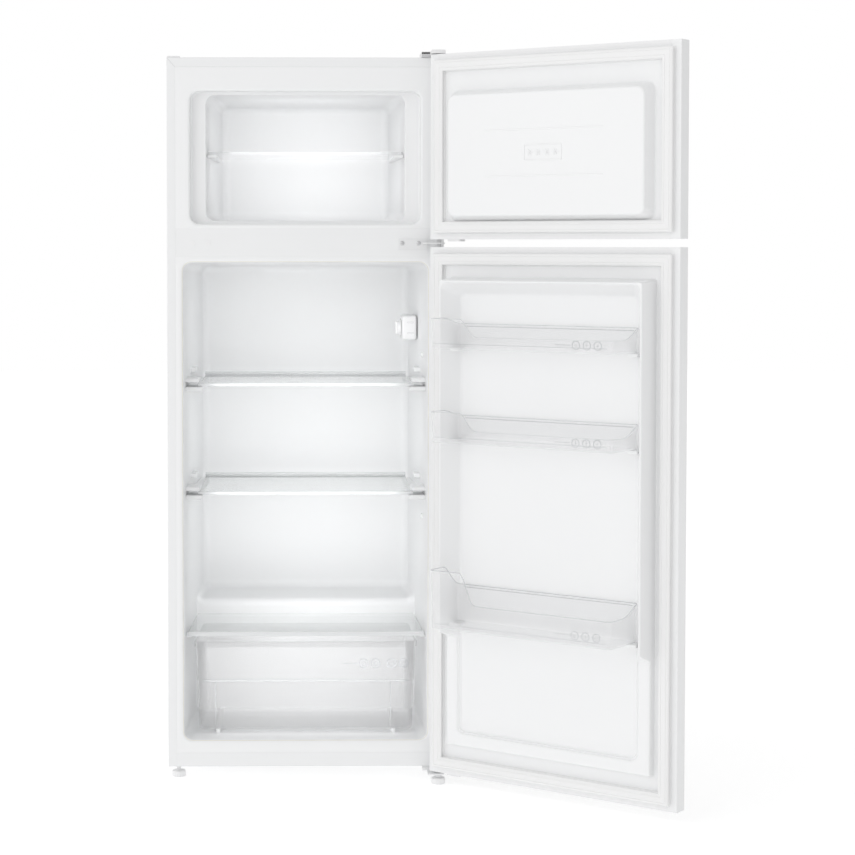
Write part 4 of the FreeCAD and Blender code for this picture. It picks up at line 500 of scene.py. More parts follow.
def fridge_liner():
    """The main compartment: tapered walls, a step over the machine bay, and the shelf ledges."""
    flange = spans(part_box("fridge_liner"))
    back = flange[1][1] - LINER_SHEET
    x = shrunk(flange[0], FRIDGE_SIDE_LIP)
    z = (flange[2][0] + FRIDGE_FOOT, flange[2][1] - FRIDGE_HEAD)
    shape = Moulding()
    loops = flange_and_mouth(flange[0], flange[2], x, z, FRIDGE_CORNER, MOUTH_ROUND)

    def at(depth, low, squeeze=0.0):
        share = depth / back
        walls = shrunk(x, FRIDGE_TAPER * share + squeeze)
        top = z[1] - FRIDGE_TAPER / 2 * share - squeeze
        return standing(ring(walls, (low, top), max(LEAST_CORNER, FRIDGE_CORNER - squeeze)), depth)

    foot = HUMP_FRONT - HUMP_FOOT
    loops += [at(depth, z[0]) for depth in (0.03, 0.12, 0.2, foot - 0.002)]
    loops += [at(foot + turn_along(HUMP_FOOT_ROUND, angle), z[0] + turn_in(HUMP_FOOT_ROUND, angle))
              for angle in (0, 30, 60, 90)]
    loops += [at(HUMP_FRONT + turn_in(HUMP_ROUND, angle), HUMP_TOP - HUMP_ROUND + turn_along(HUMP_ROUND, angle))
              for angle in (0, 18, 36, 54, 72, 90)]
    loops.append(at(back - FRIDGE_CORNER - 0.02, HUMP_TOP))
    for angle in range(0, 91, 15):
        inset = turn_in(FRIDGE_CORNER, angle)
        loops.append(at(back - FRIDGE_CORNER + turn_along(FRIDGE_CORNER, angle), HUMP_TOP + inset, inset))
    shape.skin(loops, caps=(False, True))
    shape.done("fridge_liner_moulding", "cabinet", ["white_liner"], ["fridge_liner"],
               wall=LINER_WALL)
    fridge_ledges(x, z, back)


LEDGE_START = 0.042
LEDGE_ROUND = 0.003
LEDGE_SEGMENTS = 3
LEDGE_SINK = 0.001
LEDGE_GAP = 0.0003
# How far each rib of a shelf's ledge reaches in past the plate's edge, or out of the wall.
UNDER_REACH = 0.009
OVER_REACH = 0.003
BUMP_REACH = 0.006
# Heights of the three ribs from the shelf's underside, and how far back each of them goes.
UNDER_RIB = (-0.0093, -LEDGE_GAP, 0.372)
OVER_RIB = (0.0082, 0.0168, 0.098)
BUMP_RIB = (0.022, 0.032, 0.21)
BUMP_START = 0.15
BUMP_WALL_DEPTHS = (0.3, 0.1)
COVER_LEDGE = (0.008, 0.0063, 0.0004, 0.044, 0.254)
COVER_LEDGE_ROUND = 0.002
RUNNER_SIDES = (0.171, 0.181)
RUNNER_START = 0.061
RUNNER_RISE = 0.0088
PLUG_HEIGHTS = (0.842, 0.515)
PLUG_DEPTH = 0.1
PLUG_PROFILE = ((0.0001, -0.004), (0.004, -0.003), (0.006, 0.0), (0.006, 0.004))


def fridge_ledges(x, z, back):
    """The ribs pressed into the side walls, which carry the shelves and the drawer's cover."""
    shape = Moulding()

    def wall_at(depth):
        return x[1] - FRIDGE_TAPER * depth / back

    def rib(way, sides, depths, heights, radius=LEDGE_ROUND):
        low, high = zip(sides, depths, heights)
        shape.block((way * low[0], *low[1:]), (way * high[0], *high[1:]), radius, 0, LEDGE_SEGMENTS)

    side = wall_at(LEDGE_START) + LEDGE_SINK
    for shelf_node in ("upper_shelf_trims", "lower_shelf_trims"):
        plate = spans(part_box(shelf_node))
        edge, level = plate[0][1], plate[2][0]
        for way in (-1, 1):
            for reach, (foot, head, end) in ((UNDER_REACH, UNDER_RIB), (OVER_REACH, OVER_RIB)):
                rib(way, (edge - reach, side), (LEDGE_START, end), (level + foot, level + head))
            near, far = (wall_at(depth) for depth in BUMP_WALL_DEPTHS)
            rib(way, (near - BUMP_REACH, far + LEDGE_SINK), (BUMP_START, BUMP_RIB[2]),
                (level + BUMP_RIB[0], level + BUMP_RIB[1]))
    cover = spans(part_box("crisper_cover_glass"))
    reach, foot, gap, start, end = COVER_LEDGE
    for way in (-1, 1):
        rib(way, (cover[0][1] - reach, wall_at(0) + LEDGE_SINK), (start, end),
            (cover[2][0] - foot, cover[2][0] - gap), COVER_LEDGE_ROUND)
        rib(way, RUNNER_SIDES, (RUNNER_START, HUMP_FRONT + LEDGE_SINK), (z[0] - LEDGE_SINK, z[0] + RUNNER_RISE))
    for height in PLUG_HEIGHTS:
        shape.turn(PLUG_PROFILE, (wall_at(PLUG_DEPTH) - LEDGE_SINK, PLUG_DEPTH, height), "x")
    shape.done("fridge_wall_ledges", "cabinet", ["white_liner"])


FREEZER_SIDE_LIP = 0.0289
FREEZER_LIP = 0.0083
FREEZER_HEAD_LIP = 0.0472
FREEZER_MOUTH_SHARE = 0.8
FREEZER_STEP = 0.025
FREEZER_STEP_RISE = 0.006
FREEZER_STEP_ROUND = 0.004
FREEZER_STEP_LEAST = 0.0042
FREEZER_LEDGE = 0.0299
FREEZER_TAPER = 0.020
FREEZER_FALL = 0.004
FREEZER_CORNER = 0.018
THROAT_ROUND = 0.0013
FREEZER_RAIL_REACH = (0.022, 0.002)
FREEZER_RAIL_DEPTHS = (0.038, 0.284)
FREEZER_RAIL_DROPS = (0.0063, 0.0004)
FREEZER_RAIL_ROUND = 0.002


def freezer_liner():
    """The freezer compartment: a shallow recess round a narrower tapered throat."""
    flange = spans(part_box("freezer_liner"))
    back = flange[1][1] - LINER_SHEET
    x = shrunk(flange[0], FREEZER_SIDE_LIP)
    z = (flange[2][0] + FREEZER_LIP, flange[2][1] - FREEZER_HEAD_LIP)
    throat_x = shrunk(x, FREEZER_LEDGE)
    throat_z = shrunk(z, FREEZER_STEP_RISE)
    shape = Moulding()
    loops = flange_and_mouth(flange[0], flange[2], x, z, FREEZER_CORNER, MOUTH_ROUND * FREEZER_MOUTH_SHARE)
    for angle in (0, 30, 60, 90):
        inset = turn_in(FREEZER_STEP_ROUND, angle)
        depth = FREEZER_STEP - FREEZER_STEP_ROUND + turn_along(FREEZER_STEP_ROUND, angle)
        loops.append(standing(ring(shrunk(x, inset), shrunk(z, inset), FREEZER_CORNER), depth))
    for angle in (0, 30, 60, 90):
        spread = THROAT_ROUND - turn_along(THROAT_ROUND, angle)
        rise = min(spread, FREEZER_STEP_RISE - FREEZER_STEP_LEAST)
        edge = ring(shrunk(throat_x, -spread), shrunk(throat_z, -rise), FREEZER_CORNER + spread)
        loops.append(standing(edge, FREEZER_STEP + turn_in(THROAT_ROUND, angle)))

    def at(depth, squeeze=0.0):
        share = depth / back
        walls = shrunk(throat_x, FREEZER_TAPER * share + squeeze)
        floor_and_roof = shrunk(throat_z, FREEZER_FALL * share + squeeze)
        return standing(ring(walls, floor_and_roof, max(LEAST_CORNER, FREEZER_CORNER - squeeze)), depth)

    loops += [at(depth) for depth in (0.06, 0.18, 0.3)]
    for angle in range(0, 91, 15):
        depth = back - FREEZER_CORNER + turn_along(FREEZER_CORNER, angle)
        loops.append(at(depth, turn_in(FREEZER_CORNER, angle)))
    shape.skin(loops, caps=(False, True))
    shape.done("freezer_liner_moulding", "cabinet", ["white_liner"], ["freezer_liner"],
               wall=LINER_WALL)

    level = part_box("freezer_shelf")[0].z
    rails = Moulding()
    for way in (-1, 1):
        inner, outer = (way * (throat_x[1] - reach) for reach in FREEZER_RAIL_REACH)
        foot, head = (level - drop for drop in FREEZER_RAIL_DROPS)
        start, end = FREEZER_RAIL_DEPTHS
        rails.block((inner, start, foot), (outer, end, head), FREEZER_RAIL_ROUND, 0, LEDGE_SEGMENTS)
    rails.done("freezer_wall_ledges", "cabinet", ["white_liner"])


# ---------------------------------------------------------------- door seals and liners
# A bellows seal's section: distance in from the door's edge, share of its height.
SEAL_SECTION = ((0.0005, 0.0), (0.0012, 0.10), (0.0050, 0.24), (0.0052, 0.34), (0.0012, 0.48), (0.0004, 0.62),
                (0.0010, 0.86), (0.0030, 0.98), (0.0052, 1.0), (0.0060, 0.93), (0.0068, 1.0), (0.0150, 1.0),
                (0.0158, 0.93), (0.0166, 1.0), (0.0190, 0.98), (0.0216, 0.86), (0.0222, 0.66), (0.0200, 0.52),
                (0.0186, 0.42), (0.0200, 0.30), (0.0232, 0.18), (0.0236, 0.0))
SEAL_CORNER = 0.0004


def door_seal(door):
    """The magnetic bellows seal, mitred at the corners."""
    x, depth, z = spans(closed_box(door + "_gasket"))
    height = depth[1] - depth[0]
    shape = Moulding()
    shape.skin([standing(ring(shrunk(x, inset), shrunk(z, inset), SEAL_CORNER), depth[0] + height * share)
                for inset, share in SEAL_SECTION], wrap=True)
    shape.done(door + "_bellows_seal", door, ["white_seal"], [door + "_gasket"], SWING)


def door_liner(door, loops):
    """A liner's plate, raised by the loops that follow its outer edge."""
    shape = Moulding()
    shape.skin(loops, caps=(False, True))
    shape.done(door + "_liner_moulding", door, ["white_liner"], [door + "_liner"], SWING)


PAD_SIDES = (0.0530, 0.0490)
PAD_FOOT_AND_HEAD = (0.0364, 0.0750)
PAD_CORNER = 0.016
# The pad's shoulder: first close to the plate, as inset and lift, then as inset and share of the rise.
PAD_FOOT = ((-0.004, 0.0), (-0.0018, 0.0006), (-0.0004, 0.0022), (0.0003, 0.0045))
PAD_SHOULDER = ((0.0040, 0.45), (0.0068, 0.84), (0.0078, 0.92), (0.0094, 0.97), (0.0118, 1.0))
MARKS_LIFT = 0.002
MARKS_DEPTH = 0.001
RIB_SPACING = 0.0435
RIB_HALF = (0.128, 0.0014)
RIB_STAND = 0.0009
RIB_ROUND = 0.0007


def freezer_door_liner():
    """A raised pad with rounded shoulders, two faint ribs and a framed row of frost marks."""
    door = "freezer_door"
    skin = spans(closed_box(door + "_skin"))
    plate = spans(closed_box(door + "_liner"))
    base, top = skin[1][1], plate[1][1]
    x = (skin[0][0] + PAD_SIDES[0], skin[0][1] - PAD_SIDES[1])
    z = (skin[2][0] + PAD_FOOT_AND_HEAD[0], skin[2][1] - PAD_FOOT_AND_HEAD[1])
    outer = ring(plate[0], plate[2], EDGE_CORNER)
    loops = [standing(outer, base - LINER_SHEET), standing(outer, base)]
    shoulder = PAD_FOOT + tuple((inset, share * (top - base)) for inset, share in PAD_SHOULDER)
    loops += [standing(ring(shrunk(x, inset), shrunk(z, inset), PAD_CORNER), base + lift)
              for inset, lift in shoulder]
    door_liner(door, loops)

    marks = Moulding()
    middle = Vector(((x[0] + x[1]) / 2, top, (z[0] + z[1]) / 2 + MARKS_LIFT))
    for way in (-1, 1):
        height = middle.z + way * RIB_SPACING
        marks.block((middle.x - RIB_HALF[0], top - MARKS_DEPTH, height - RIB_HALF[1]),
                    (middle.x + RIB_HALF[0], top + RIB_STAND, height + RIB_HALF[1]), RIB_ROUND)
    frost_plate(marks, middle)
    marks.done(door + "_liner_marks", door, ["white_liner"], (), SWING)


FRAME_HALF = (0.040, 0.0145)
FRAME_BEAD = 0.0010
FRAME_ROUND = 0.0004
FROST_COUNT = 4
FROST_SPACING = 0.0185
FROST_RING = (0.0022, 0.0005)
FROST_RING_STAND = 0.0004
FROST_ARM = 0.0066
FROST_ARM_HALF = 0.0006
FROST_ARM_STAND = 0.0009


def frost_plate(marks, middle):
    """A small raised frame holding a row of plain six-armed frost marks."""
    half_x, half_z = FRAME_HALF
    low, high = middle.y - MARKS_DEPTH, middle.y + FRAME_BEAD
    for way in (-1, 1):
        marks.block((middle.x - half_x, low, middle.z + way * half_z - FRAME_BEAD),
                    (middle.x + half_x, high, middle.z + way * half_z + FRAME_BEAD), FRAME_ROUND)
        marks.block((middle.x + way * half_x - FRAME_BEAD, low, middle.z - half_z),
                    (middle.x + way * half_x + FRAME_BEAD, high, middle.z + half_z), FRAME_ROUND)
    for k in range(FROST_COUNT):
        along = (k - (FROST_COUNT - 1) / 2) * FROST_SPACING
        centre = Vector((middle.x + along, middle.y, middle.z))
        marks.hoop(centre + Vector((0, FROST_RING_STAND, 0)), *FROST_RING)
        for angle in (0, 60, 120):
            radians = math.radians(angle)
            reach = Vector((math.cos(radians), 0, math.sin(radians))) * FROST_ARM
            side = Vector((-math.sin(radians), 0, math.cos(radians))) * FROST_ARM_HALF
            arm = [centre - reach - side, centre + reach - side, centre + reach + side, centre - reach + side]
            ends = (-MARKS_DEPTH, FROST_ARM_STAND)
            marks.skin([[point + Vector((0, stand, 0)) for point in arm] for stand in ends], caps=(True, True))


DYKE_SIDE = 0.0470
DYKE_FOOT = 0.0610
DYKE_HEAD = 0.0586
DYKE_SPLIT = 0.273
DYKE_SLOPE = 0.018
DYKE_SLOPE_START = 0.012
DYKE_SLOPE_STEP = 0.003
DYKE_SLOPE_LEVELS = 13
DYKE_LOW = 0.015
# The dyke's outer edge is nearly sharp as far as this inset, and round inside it.
DYKE_OUTER_INSET = 0.006
DYKE_OUTER_CORNER = 0.0045
DYKE_INNER_CORNER = 0.014
# Each row: inset where the dyke is tall, inset where it is low, lift, and share of the crest.
DYKE_PROFILE = ((-0.003, -0.003, 0.0, 0.0), (-0.0010, -0.0010, 0.0006, 0.0), (0.0003, 0.0003, 0.0025, 0.0),
                (0.0042, 0.0012, -0.0050, 1.0), (0.0047, 0.0020, -0.0022, 1.0), (0.0054, 0.0036, -0.0006, 1.0),
                (0.0066, 0.0060, 0.0, 1.0), (0.0078, 0.0240, -0.0002, 1.0), (0.0090, 0.0262, -0.0014, 1.0),
                (0.0105, 0.0276, -0.0036, 1.0), (0.0284, 0.0294, 0.0124, 0.0), (0.0300, 0.0306, 0.0102, 0.0),
                (0.0318, 0.0322, 0.0088, 0.0), (0.0345, 0.0345, 0.0081, 0.0), (0.0375, 0.0375, 0.0080, 0.0))
LUG_INSET = 0.031
LUG_SIDES = (0.011, 0.010)
LUG_DEPTHS = (0.002, 0.033)
LUG_DROPS = (0.0073, 0.0004)
LUG_ROUND = 0.002


def fridge_door_liner():
    """The dyke round the rack pocket, tall above the drawer and low in front of it."""
    door = "fridge_door"
    skin = spans(closed_box(door + "_skin"))
    plate = spans(closed_box(door + "_liner"))
    base = skin[1][1]
    tall = plate[1][1] - base
    x = shrunk(skin[0], DYKE_SIDE)
    z = (skin[2][0] + DYKE_FOOT, skin[2][1] - DYKE_HEAD)
    split = skin[2][0] + DYKE_SPLIT
    levels = [split - DYKE_SLOPE_START + DYKE_SLOPE_STEP * k for k in range(DYKE_SLOPE_LEVELS)]
    outer = ring(plate[0], plate[2], EDGE_CORNER, levels)
    loops = [standing(outer, base - LINER_SHEET), standing(outer, base)]
    for tall_inset, low_inset, lift, share in DYKE_PROFILE:
        radius = DYKE_OUTER_CORNER if tall_inset < DYKE_OUTER_INSET else DYKE_INNER_CORNER
        high_ring, low_ring = (ring(shrunk(x, inset), shrunk(z, inset), radius, levels)
                               for inset in (tall_inset, low_inset))
        loop = []
        for (high_x, high_z), (low_x, low_z) in zip(high_ring, low_ring):
            rise = ease((high_z - split) / DYKE_SLOPE)
            place = Vector((low_x, 0.0, low_z)).lerp(Vector((high_x, 0.0, high_z)), rise)
            place.y = base + lift + share * (DYKE_LOW + (tall - DYKE_LOW) * rise)
            loop.append(place)
        loops.append(loop)
    door_liner(door, loops)

    lugs = Moulding()
    pocket = x[1] - LUG_INSET
    for rack_node in RACK_SIZES:
        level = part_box(rack_node)[0].z
        for way in (-1, 1):
            lugs.block((way * (pocket - LUG_SIDES[0]), base + LUG_DEPTHS[0], level - LUG_DROPS[0]),
                       (way * (pocket + LUG_SIDES[1]), base + LUG_DEPTHS[1], level - LUG_DROPS[1]),
                       LUG_ROUND, 0, LEDGE_SEGMENTS)
    lugs.done(door + "_rack_lugs", door, ["white_liner"], (), SWING)


# ---------------------------------------------------------------- door racks
# Each rack: rise of its back wall, its front wall and its tongue.
RACK_SIZES = {"upper_rack": (0.046, 0.025, 0.058), "middle_rack": (0.046, 0.025, 0.058),
              "bottle_rack": (0.073, 0.052, 0.112)}
RACK_WALL = 0.0022
RACK_CORNER = 0.010
RACK_CORNER_SHARE = 0.9
RACK_LEAN = 0.0022
RACK_FRONT_SHARE = 0.55
RACK_LIP = 0.0004
RACK_LIP_SHARE = 0.985
RACK_FLOOR_SHARE = 0.02
RACK_FLOOR_INSET = 0.008
RACK_FLOOR_CORNER = 0.004
RACK_FOOT_ROUND = 0.003
TONGUE_WIDTH = 0.070
TONGUE_SLOPE = 0.032
RACK_END = 0.012
RACK_SPOTS = 44
RACK_LEVELS = 10
# Lines raised on the clear walls: half thickness and edge radius.
FINE_LINE = 0.0006
FINE_ROUND = 0.0003
FRONT_LINE = (0.0100, 0.0112, 0.0007)
BACK_LINE = (0.014, 0.0062, 0.0050, 0.0008, 0.0001)
MARK_COUNT = 3
MARK_START = 0.030
MARK_SPACING = 0.0225
MARK_RING = (0.0076, 0.0006)
MARK_ARM = 0.0034
MARK_SHARE = 0.62
MARK_HIGHEST = 0.016
TALL_FRONT = 0.04
TALL_FRONT_LIFT = 0.004
DASH = (0.086, 0.118, 0.0008, 0.0007)


def evenly(start, end, parts):
    return [start + (end - start) * k / parts for k in range(parts + 1)]


def rack(name, back_rise, front_rise, tongue_rise):
    """A thin clear rack whose front wall sweeps up into a tongue on the hinge side."""
    x, y, (level, _) = spans(closed_box(name))
    facing = (-y[1], -y[0])
    tongue_start = x[1] - TONGUE_WIDTH
    spots = evenly(x[0] + RACK_END, x[1] - RACK_END, RACK_SPOTS)
    side_spots = [-depth for depth in evenly(y[0] + RACK_END, y[1] - RACK_END, RACK_LEVELS)]

    def rim(px, py):
        along_front = ease((px - tongue_start + TONGUE_SLOPE) / TONGUE_SLOPE)
        front = front_rise + (tongue_rise - front_rise) * along_front
        return back_rise + (front - back_rise) * ease((py - y[0]) / (RACK_FRONT_SHARE * (y[1] - y[0])))

    def outline(inset, radius):
        points = ring(shrunk(x, inset), shrunk(facing, inset), radius, side_spots, spots)
        return [(px, -py) for px, py in points]

    def wall(inset, share, lift=0.0):
        lean = RACK_LEAN * (1 - share)
        return lying(outline(inset + lean, RACK_CORNER - inset * RACK_CORNER_SHARE),
                     lambda px, py: level + lift + share * (rim(px, py) - lift))

    inner = RACK_WALL
    shape = Moulding()
    shape.skin([lying(outline(RACK_FLOOR_INSET, RACK_FLOOR_CORNER), level), wall(RACK_FOOT_ROUND, 0.0),
                wall(0.0, RACK_FLOOR_SHARE), wall(0.0, 0.5), wall(0.0, RACK_LIP_SHARE)], caps=(True, False))
    # The rim's top band takes the darker edge tone: painted shade along the lip.
    shape.skin([wall(0.0, RACK_LIP_SHARE), wall(RACK_LIP, 1.0), wall(inner - RACK_LIP, 1.0),
                wall(inner, RACK_LIP_SHARE)], finish=1)
    shape.skin([wall(inner, RACK_LIP_SHARE), wall(inner, 0.5), wall(inner, RACK_FLOOR_SHARE, inner),
                wall(inner + RACK_FOOT_ROUND, 0.0, inner)], caps=(False, True))
    front = y[1]
    # The raised lines, marks and dash take the darker edge tone too: painted shade along them.
    low, high, stand = FRONT_LINE
    shape.block((x[0] + RACK_END, front - stand, level + low),
                (x[1] - RACK_END, front, level + high), FINE_ROUND, 1)
    end, low, high, deep, shallow = BACK_LINE
    shape.block((x[0] + end, y[0] + deep, level + back_rise - low),
                (x[1] - end, y[0] + shallow, level + back_rise - high), FINE_ROUND, 1)
    mark_level = level + min(MARK_SHARE * front_rise, MARK_HIGHEST)
    if front_rise > TALL_FRONT:
        mark_level += TALL_FRONT_LIFT
    for k in range(MARK_COUNT):
        centre = Vector((x[0] + MARK_START + MARK_SPACING * k, front - FINE_ROUND, mark_level))
        shape.hoop(centre, *MARK_RING, "y", 1)
        for half_x, half_z in ((MARK_ARM, FINE_LINE), (FINE_LINE, MARK_ARM)):
            shape.block(centre + Vector((-half_x, 0, -half_z)), centre + Vector((half_x, FINE_ROUND, half_z)),
                        FINE_ROUND, 1)
    start, end, stand, half = DASH
    shape.block((x[0] + start, front - stand, mark_level - half),
                (x[0] + end, front, mark_level + half), FINE_ROUND, 1)
    shape.done(name + "_moulding", name, ["clear_plastic", "clear_edge_painted_shade"], [name], SWING)


# ---------------------------------------------------------------- shelves and drawer
TRIM_DEPTH = 0.014
TRIM_TOP = 0.006
TRIM_NOSE = 0.003
GROOVE_INSET = 0.0026
CROWN_RADIUS = 0.0016
CROWN_CENTRE = (0.0017, 0.0093)
CROWN_FOOT = (0.0033, 0.0062)


def shelf(name):
    """A glass plate between a rounded front trim and a taller rear trim with a stop rib."""
    x, (front, back), (level, _) = spans(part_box(name + "_trims"))
    groove_low, groove_high = (height - level for height in spans(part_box(name + "_glass"))[2])
    nose = arc((front + TRIM_NOSE, TRIM_NOSE), TRIM_NOSE, 270, 90, 8)
    inner = front + TRIM_DEPTH
    groove = front + GROOVE_INSET
    front_section = [(inner, 0.0)] + nose + [(inner, TRIM_TOP), (inner, groove_high), (groove, groove_high),
                                             (groove, groove_low), (inner, groove_low)]
    crown = arc((back - CROWN_CENTRE[0], CROWN_CENTRE[1]), CROWN_RADIUS, 0, 180, 6)
    inner = back - TRIM_DEPTH
    groove = back - GROOVE_INSET
    rear_section = [(back, 0.0)] + crown + [(back - CROWN_FOOT[0], CROWN_FOOT[1]), (inner, TRIM_TOP),
                                            (inner, groove_high), (groove, groove_high), (groove, groove_low),
                                            (inner, groove_low), (inner, 0.0)]
    shape = Moulding()
    for section in (front_section, rear_section):
        shape.skin([[Vector((side, py, level + pz)) for py, pz in section] for side in x], caps=(True, True))
    shape.done(name + "_clear_trims", name, ["clear_trim"], [name + "_trims"])


CRISPER_WALL = 0.0025
CRISPER_DRAFT = 0.008
CRISPER_LEAN = 0.005
CRISPER_CORNER = 0.012
CRISPER_LINE = 0.100
CRISPER_UPPER = 0.0026
CRISPER_LOWER = 0.0040
# Each row: height over the floor, or from the waist, or below the rim, and inset.
CRISPER_FOOT = ((0.0, 0.010), (0.0009, 0.0065), (0.0035, 0.0045), (0.008, CRISPER_LOWER))
CRISPER_WAIST = ((-0.0012, CRISPER_LOWER), (0.0, CRISPER_UPPER))
CRISPER_HEAD = ((-0.012, CRISPER_UPPER), (-0.0102, 0.0002))
CRISPER_LIP = ((-0.0102, 0.0002), (-0.0012, 0.0), (0.0, 0.0010), (0.0, 0.0040), (-0.0010, 0.0052))
CRISPER_INSIDE_WAIST = ((0.001, CRISPER_UPPER + CRISPER_WALL), (-0.002, CRISPER_LOWER + CRISPER_WALL))
CRISPER_INSIDE_FOOT = ((0.009, 0.0042 + CRISPER_WALL), (0.0045, 0.0072 + CRISPER_WALL),
                       (CRISPER_WALL, 0.011 + CRISPER_WALL))
CRISPER_RIBS = (-0.180, 0.170)
CRISPER_RIB = (0.0008, 0.012, 0.004, 0.0004)
WAIST_BEAD = (0.018, 0.0006, 0.0008, 0.0010, 0.0008, 0.0006)
ROUND_MARKS = (0.116, 0.140, 0.172, 0.196)
ROUND_MARK_HEIGHT = 0.135
ROUND_MARK_RING = (0.0088, 0.0007)
ROUND_MARK_INNER = (0.0040, 0.0005)
ROUND_MARK_OFFSET = (0.0006, 0, -0.0008)
ROUND_MARK_STAND = 0.0001
CRISPER_DASH = (0.076, 0.105, 0.1343, 0.1357, 0.0004)


def crisper():
    """The clear drawer: drafted walls, a rolled lip, a waist line, two ribs and four round marks."""
    x, y, z = spans(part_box("crisper_drawer"))

    def loops(level, rows):
        made = []
        for height, inset in ((level + rise, inset) for rise, inset in rows):
            lean = CRISPER_LEAN * (1 - (height - z[0]) / (z[1] - z[0]))
            outline = ring(shrunk(x, inset + lean), shrunk(y, inset + lean), CRISPER_CORNER)
            made.append(lying([(px * (1 - CRISPER_DRAFT * (py - y[0]) / (y[1] - y[0]) / x[1]), py)
                               for px, py in outline], height))
        return made

    foot, rim = z
    waist = foot + CRISPER_LINE
    lip = loops(rim, CRISPER_LIP)
    shape = Moulding()
    shape.skin(loops(foot, CRISPER_FOOT) + loops(waist, CRISPER_WAIST) + loops(rim, CRISPER_HEAD),
               caps=(True, False))
    shape.skin(lip)
    shape.skin(lip[-1:] + loops(waist, CRISPER_INSIDE_WAIST) + loops(foot, CRISPER_INSIDE_FOOT),
               caps=(False, True))
    front = y[0] + CRISPER_UPPER
    # The ribs, waist bead, round marks and dash take the darker edge tone: painted shade along them.
    half, above, below, radius = CRISPER_RIB
    for place in CRISPER_RIBS:
        shape.block((place - half, front, foot + above), (place + half, front + half, waist - below), radius, 1)
    end, stand, depth, under, over, radius = WAIST_BEAD
    shape.block((x[0] + end, front - stand, waist - under),
                (x[1] - end, front + depth, waist + over), radius, 1)
    for place in ROUND_MARKS:
        centre = Vector((place, front + ROUND_MARK_STAND, foot + ROUND_MARK_HEIGHT))
        shape.hoop(centre, *ROUND_MARK_RING, "y", 1)
        shape.hoop(centre + Vector(ROUND_MARK_OFFSET), *ROUND_MARK_INNER, "y", 1)
    start, end, under, over, stand = CRISPER_DASH
    shape.block((start, front - stand, foot + under), (end, front + stand, foot + over), stand, 1)
    shape.done("crisper_drawer_moulding", "crisper_drawer", ["clear_plastic", "clear_edge_painted_shade"],
               ["crisper_drawer"])


# ---------------------------------------------------------------- front corner seams
SEAM_WIDTH = 0.0005
SEAM_DEPTHS = (-0.00015, 0.0004)
SEAM_END = 0.0012


def corner_seams():
    """The mitred joints where the top flange of the steel wrapper meets its side flanges."""
    x, y, z = spans(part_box("cabinet_wrapper"))
    inner = spans(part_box("freezer_liner"))
    seams = Moulding()
    for way in (-1, 1):
        outer_corner = Vector((way * (x[1] - SEAM_END), y[0], z[1] - SEAM_END))
        inner_corner = Vector((way * inner[0][1], y[0], inner[2][1]))
        run = (inner_corner - outer_corner).normalized()
        across = Vector((run.z, 0, -run.x)) * SEAM_WIDTH / 2
        sides = [across + Vector((0, depth, 0)) for depth in SEAM_DEPTHS]
        sides += [Vector((0, depth, 0)) - across for depth in SEAM_DEPTHS[::-1]]
        ends = (outer_corner, inner_corner)
        seams.skin([[centre + side for side in sides] for centre in ends], caps=(True, True))
    seams.done("cabinet_corner_seams", "cabinet", ["seam_shade"])


# ---------------------------------------------------------------- lamp and thermostat box
HOUSING_INSET = (0.0004, 0.002)
HOUSING_ROUND = 0.005
SLOT_HEIGHTS = (0.014, 0.036)
SLOT_ENDS = (0.012, 0.008)
SLOT_HALF = 0.0014
SLOT_DEPTHS = (0.0001, 0.0006)
SLAT_COUNT = 7
SLAT_END = 0.004
SLAT_HALF = 0.0007
SLAT_MARGIN = 0.003
SLAT_DEPTH = 0.0009
HOUSING_LINE_ROUND = 0.0003
LENS_ROUND = 0.0008
DIAL_FACE = 0.0042
DIAL_END = 0.0120
# The dial's edge: share of the radius, and distance from its face.
DIAL_EDGE = ((0.86, 0.0), (0.93, 0.0004), (0.985, 0.0018), (1.0, 0.0075))
DIAL_FLUTES = 24
DIAL_FLUTE_DEPTH = 0.022
DIAL_FLUTE_START = 0.001
GRIP_HALF = (0.0026, 0.0128)
GRIP_ROUND = 0.0018
POINTER_HALF = 0.0006
POINTER_START = 0.0098
POINTER_SINK = 0.0003
POINTER_ROUND = 0.0002


def lamp_housing():
    """The box on the right wall: a rounded shell with cooling slots, open where the lens sits. The slots are dark
    strips of painted shade.
    """
    x, y, z = spans(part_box("lamp_box"))
    lens = spans(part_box("lamp_lens"))
    shape = Moulding()
    shape.block((x[0] + HOUSING_INSET[0], y[0], z[0]),
                (x[1] - HOUSING_INSET[1], y[1], z[1]), HOUSING_ROUND, 0, 4)
    # Dark strips: painted shade inside the cooling slots.
    for height in SLOT_HEIGHTS:
        shape.block((x[0] + SLOT_ENDS[0], y[0] - SLOT_DEPTHS[0], z[0] + height - SLOT_HALF),
                    (x[1] - SLOT_ENDS[1], y[0] + SLOT_DEPTHS[1], z[0] + height + SLOT_HALF),
                    HOUSING_LINE_ROUND, 1)
    for depth in evenly(lens[1][0] + SLAT_END, lens[1][1] - SLAT_END, SLAT_COUNT - 1):
        shape.block((x[0], depth - SLAT_HALF, lens[2][0] + SLAT_MARGIN),
                    (x[0] + SLAT_DEPTH, depth + SLAT_HALF, lens[2][1] - SLAT_MARGIN), HOUSING_LINE_ROUND)
    shape.done("lamp_housing", "cabinet", ["white_plastic", "painted_shade_and_pointer_ink"],
               ["lamp_box", "thermostat", "lamp_bulb"])

    cover = Moulding()
    cover.block(*zip(*lens), LENS_ROUND, 0, 3)
    cover.done("lamp_lens_cover", "cabinet", ["lamp_glass"], ["lamp_lens"])


def flutes(count, depth, start, end=math.inf):
    """Grooves cut round a turned shape between two distances along it."""
    def reach(angle, distance):
        return 1.0 - depth * (0.5 + 0.5 * math.cos(count * angle)) * (start < distance < end)
    return reach


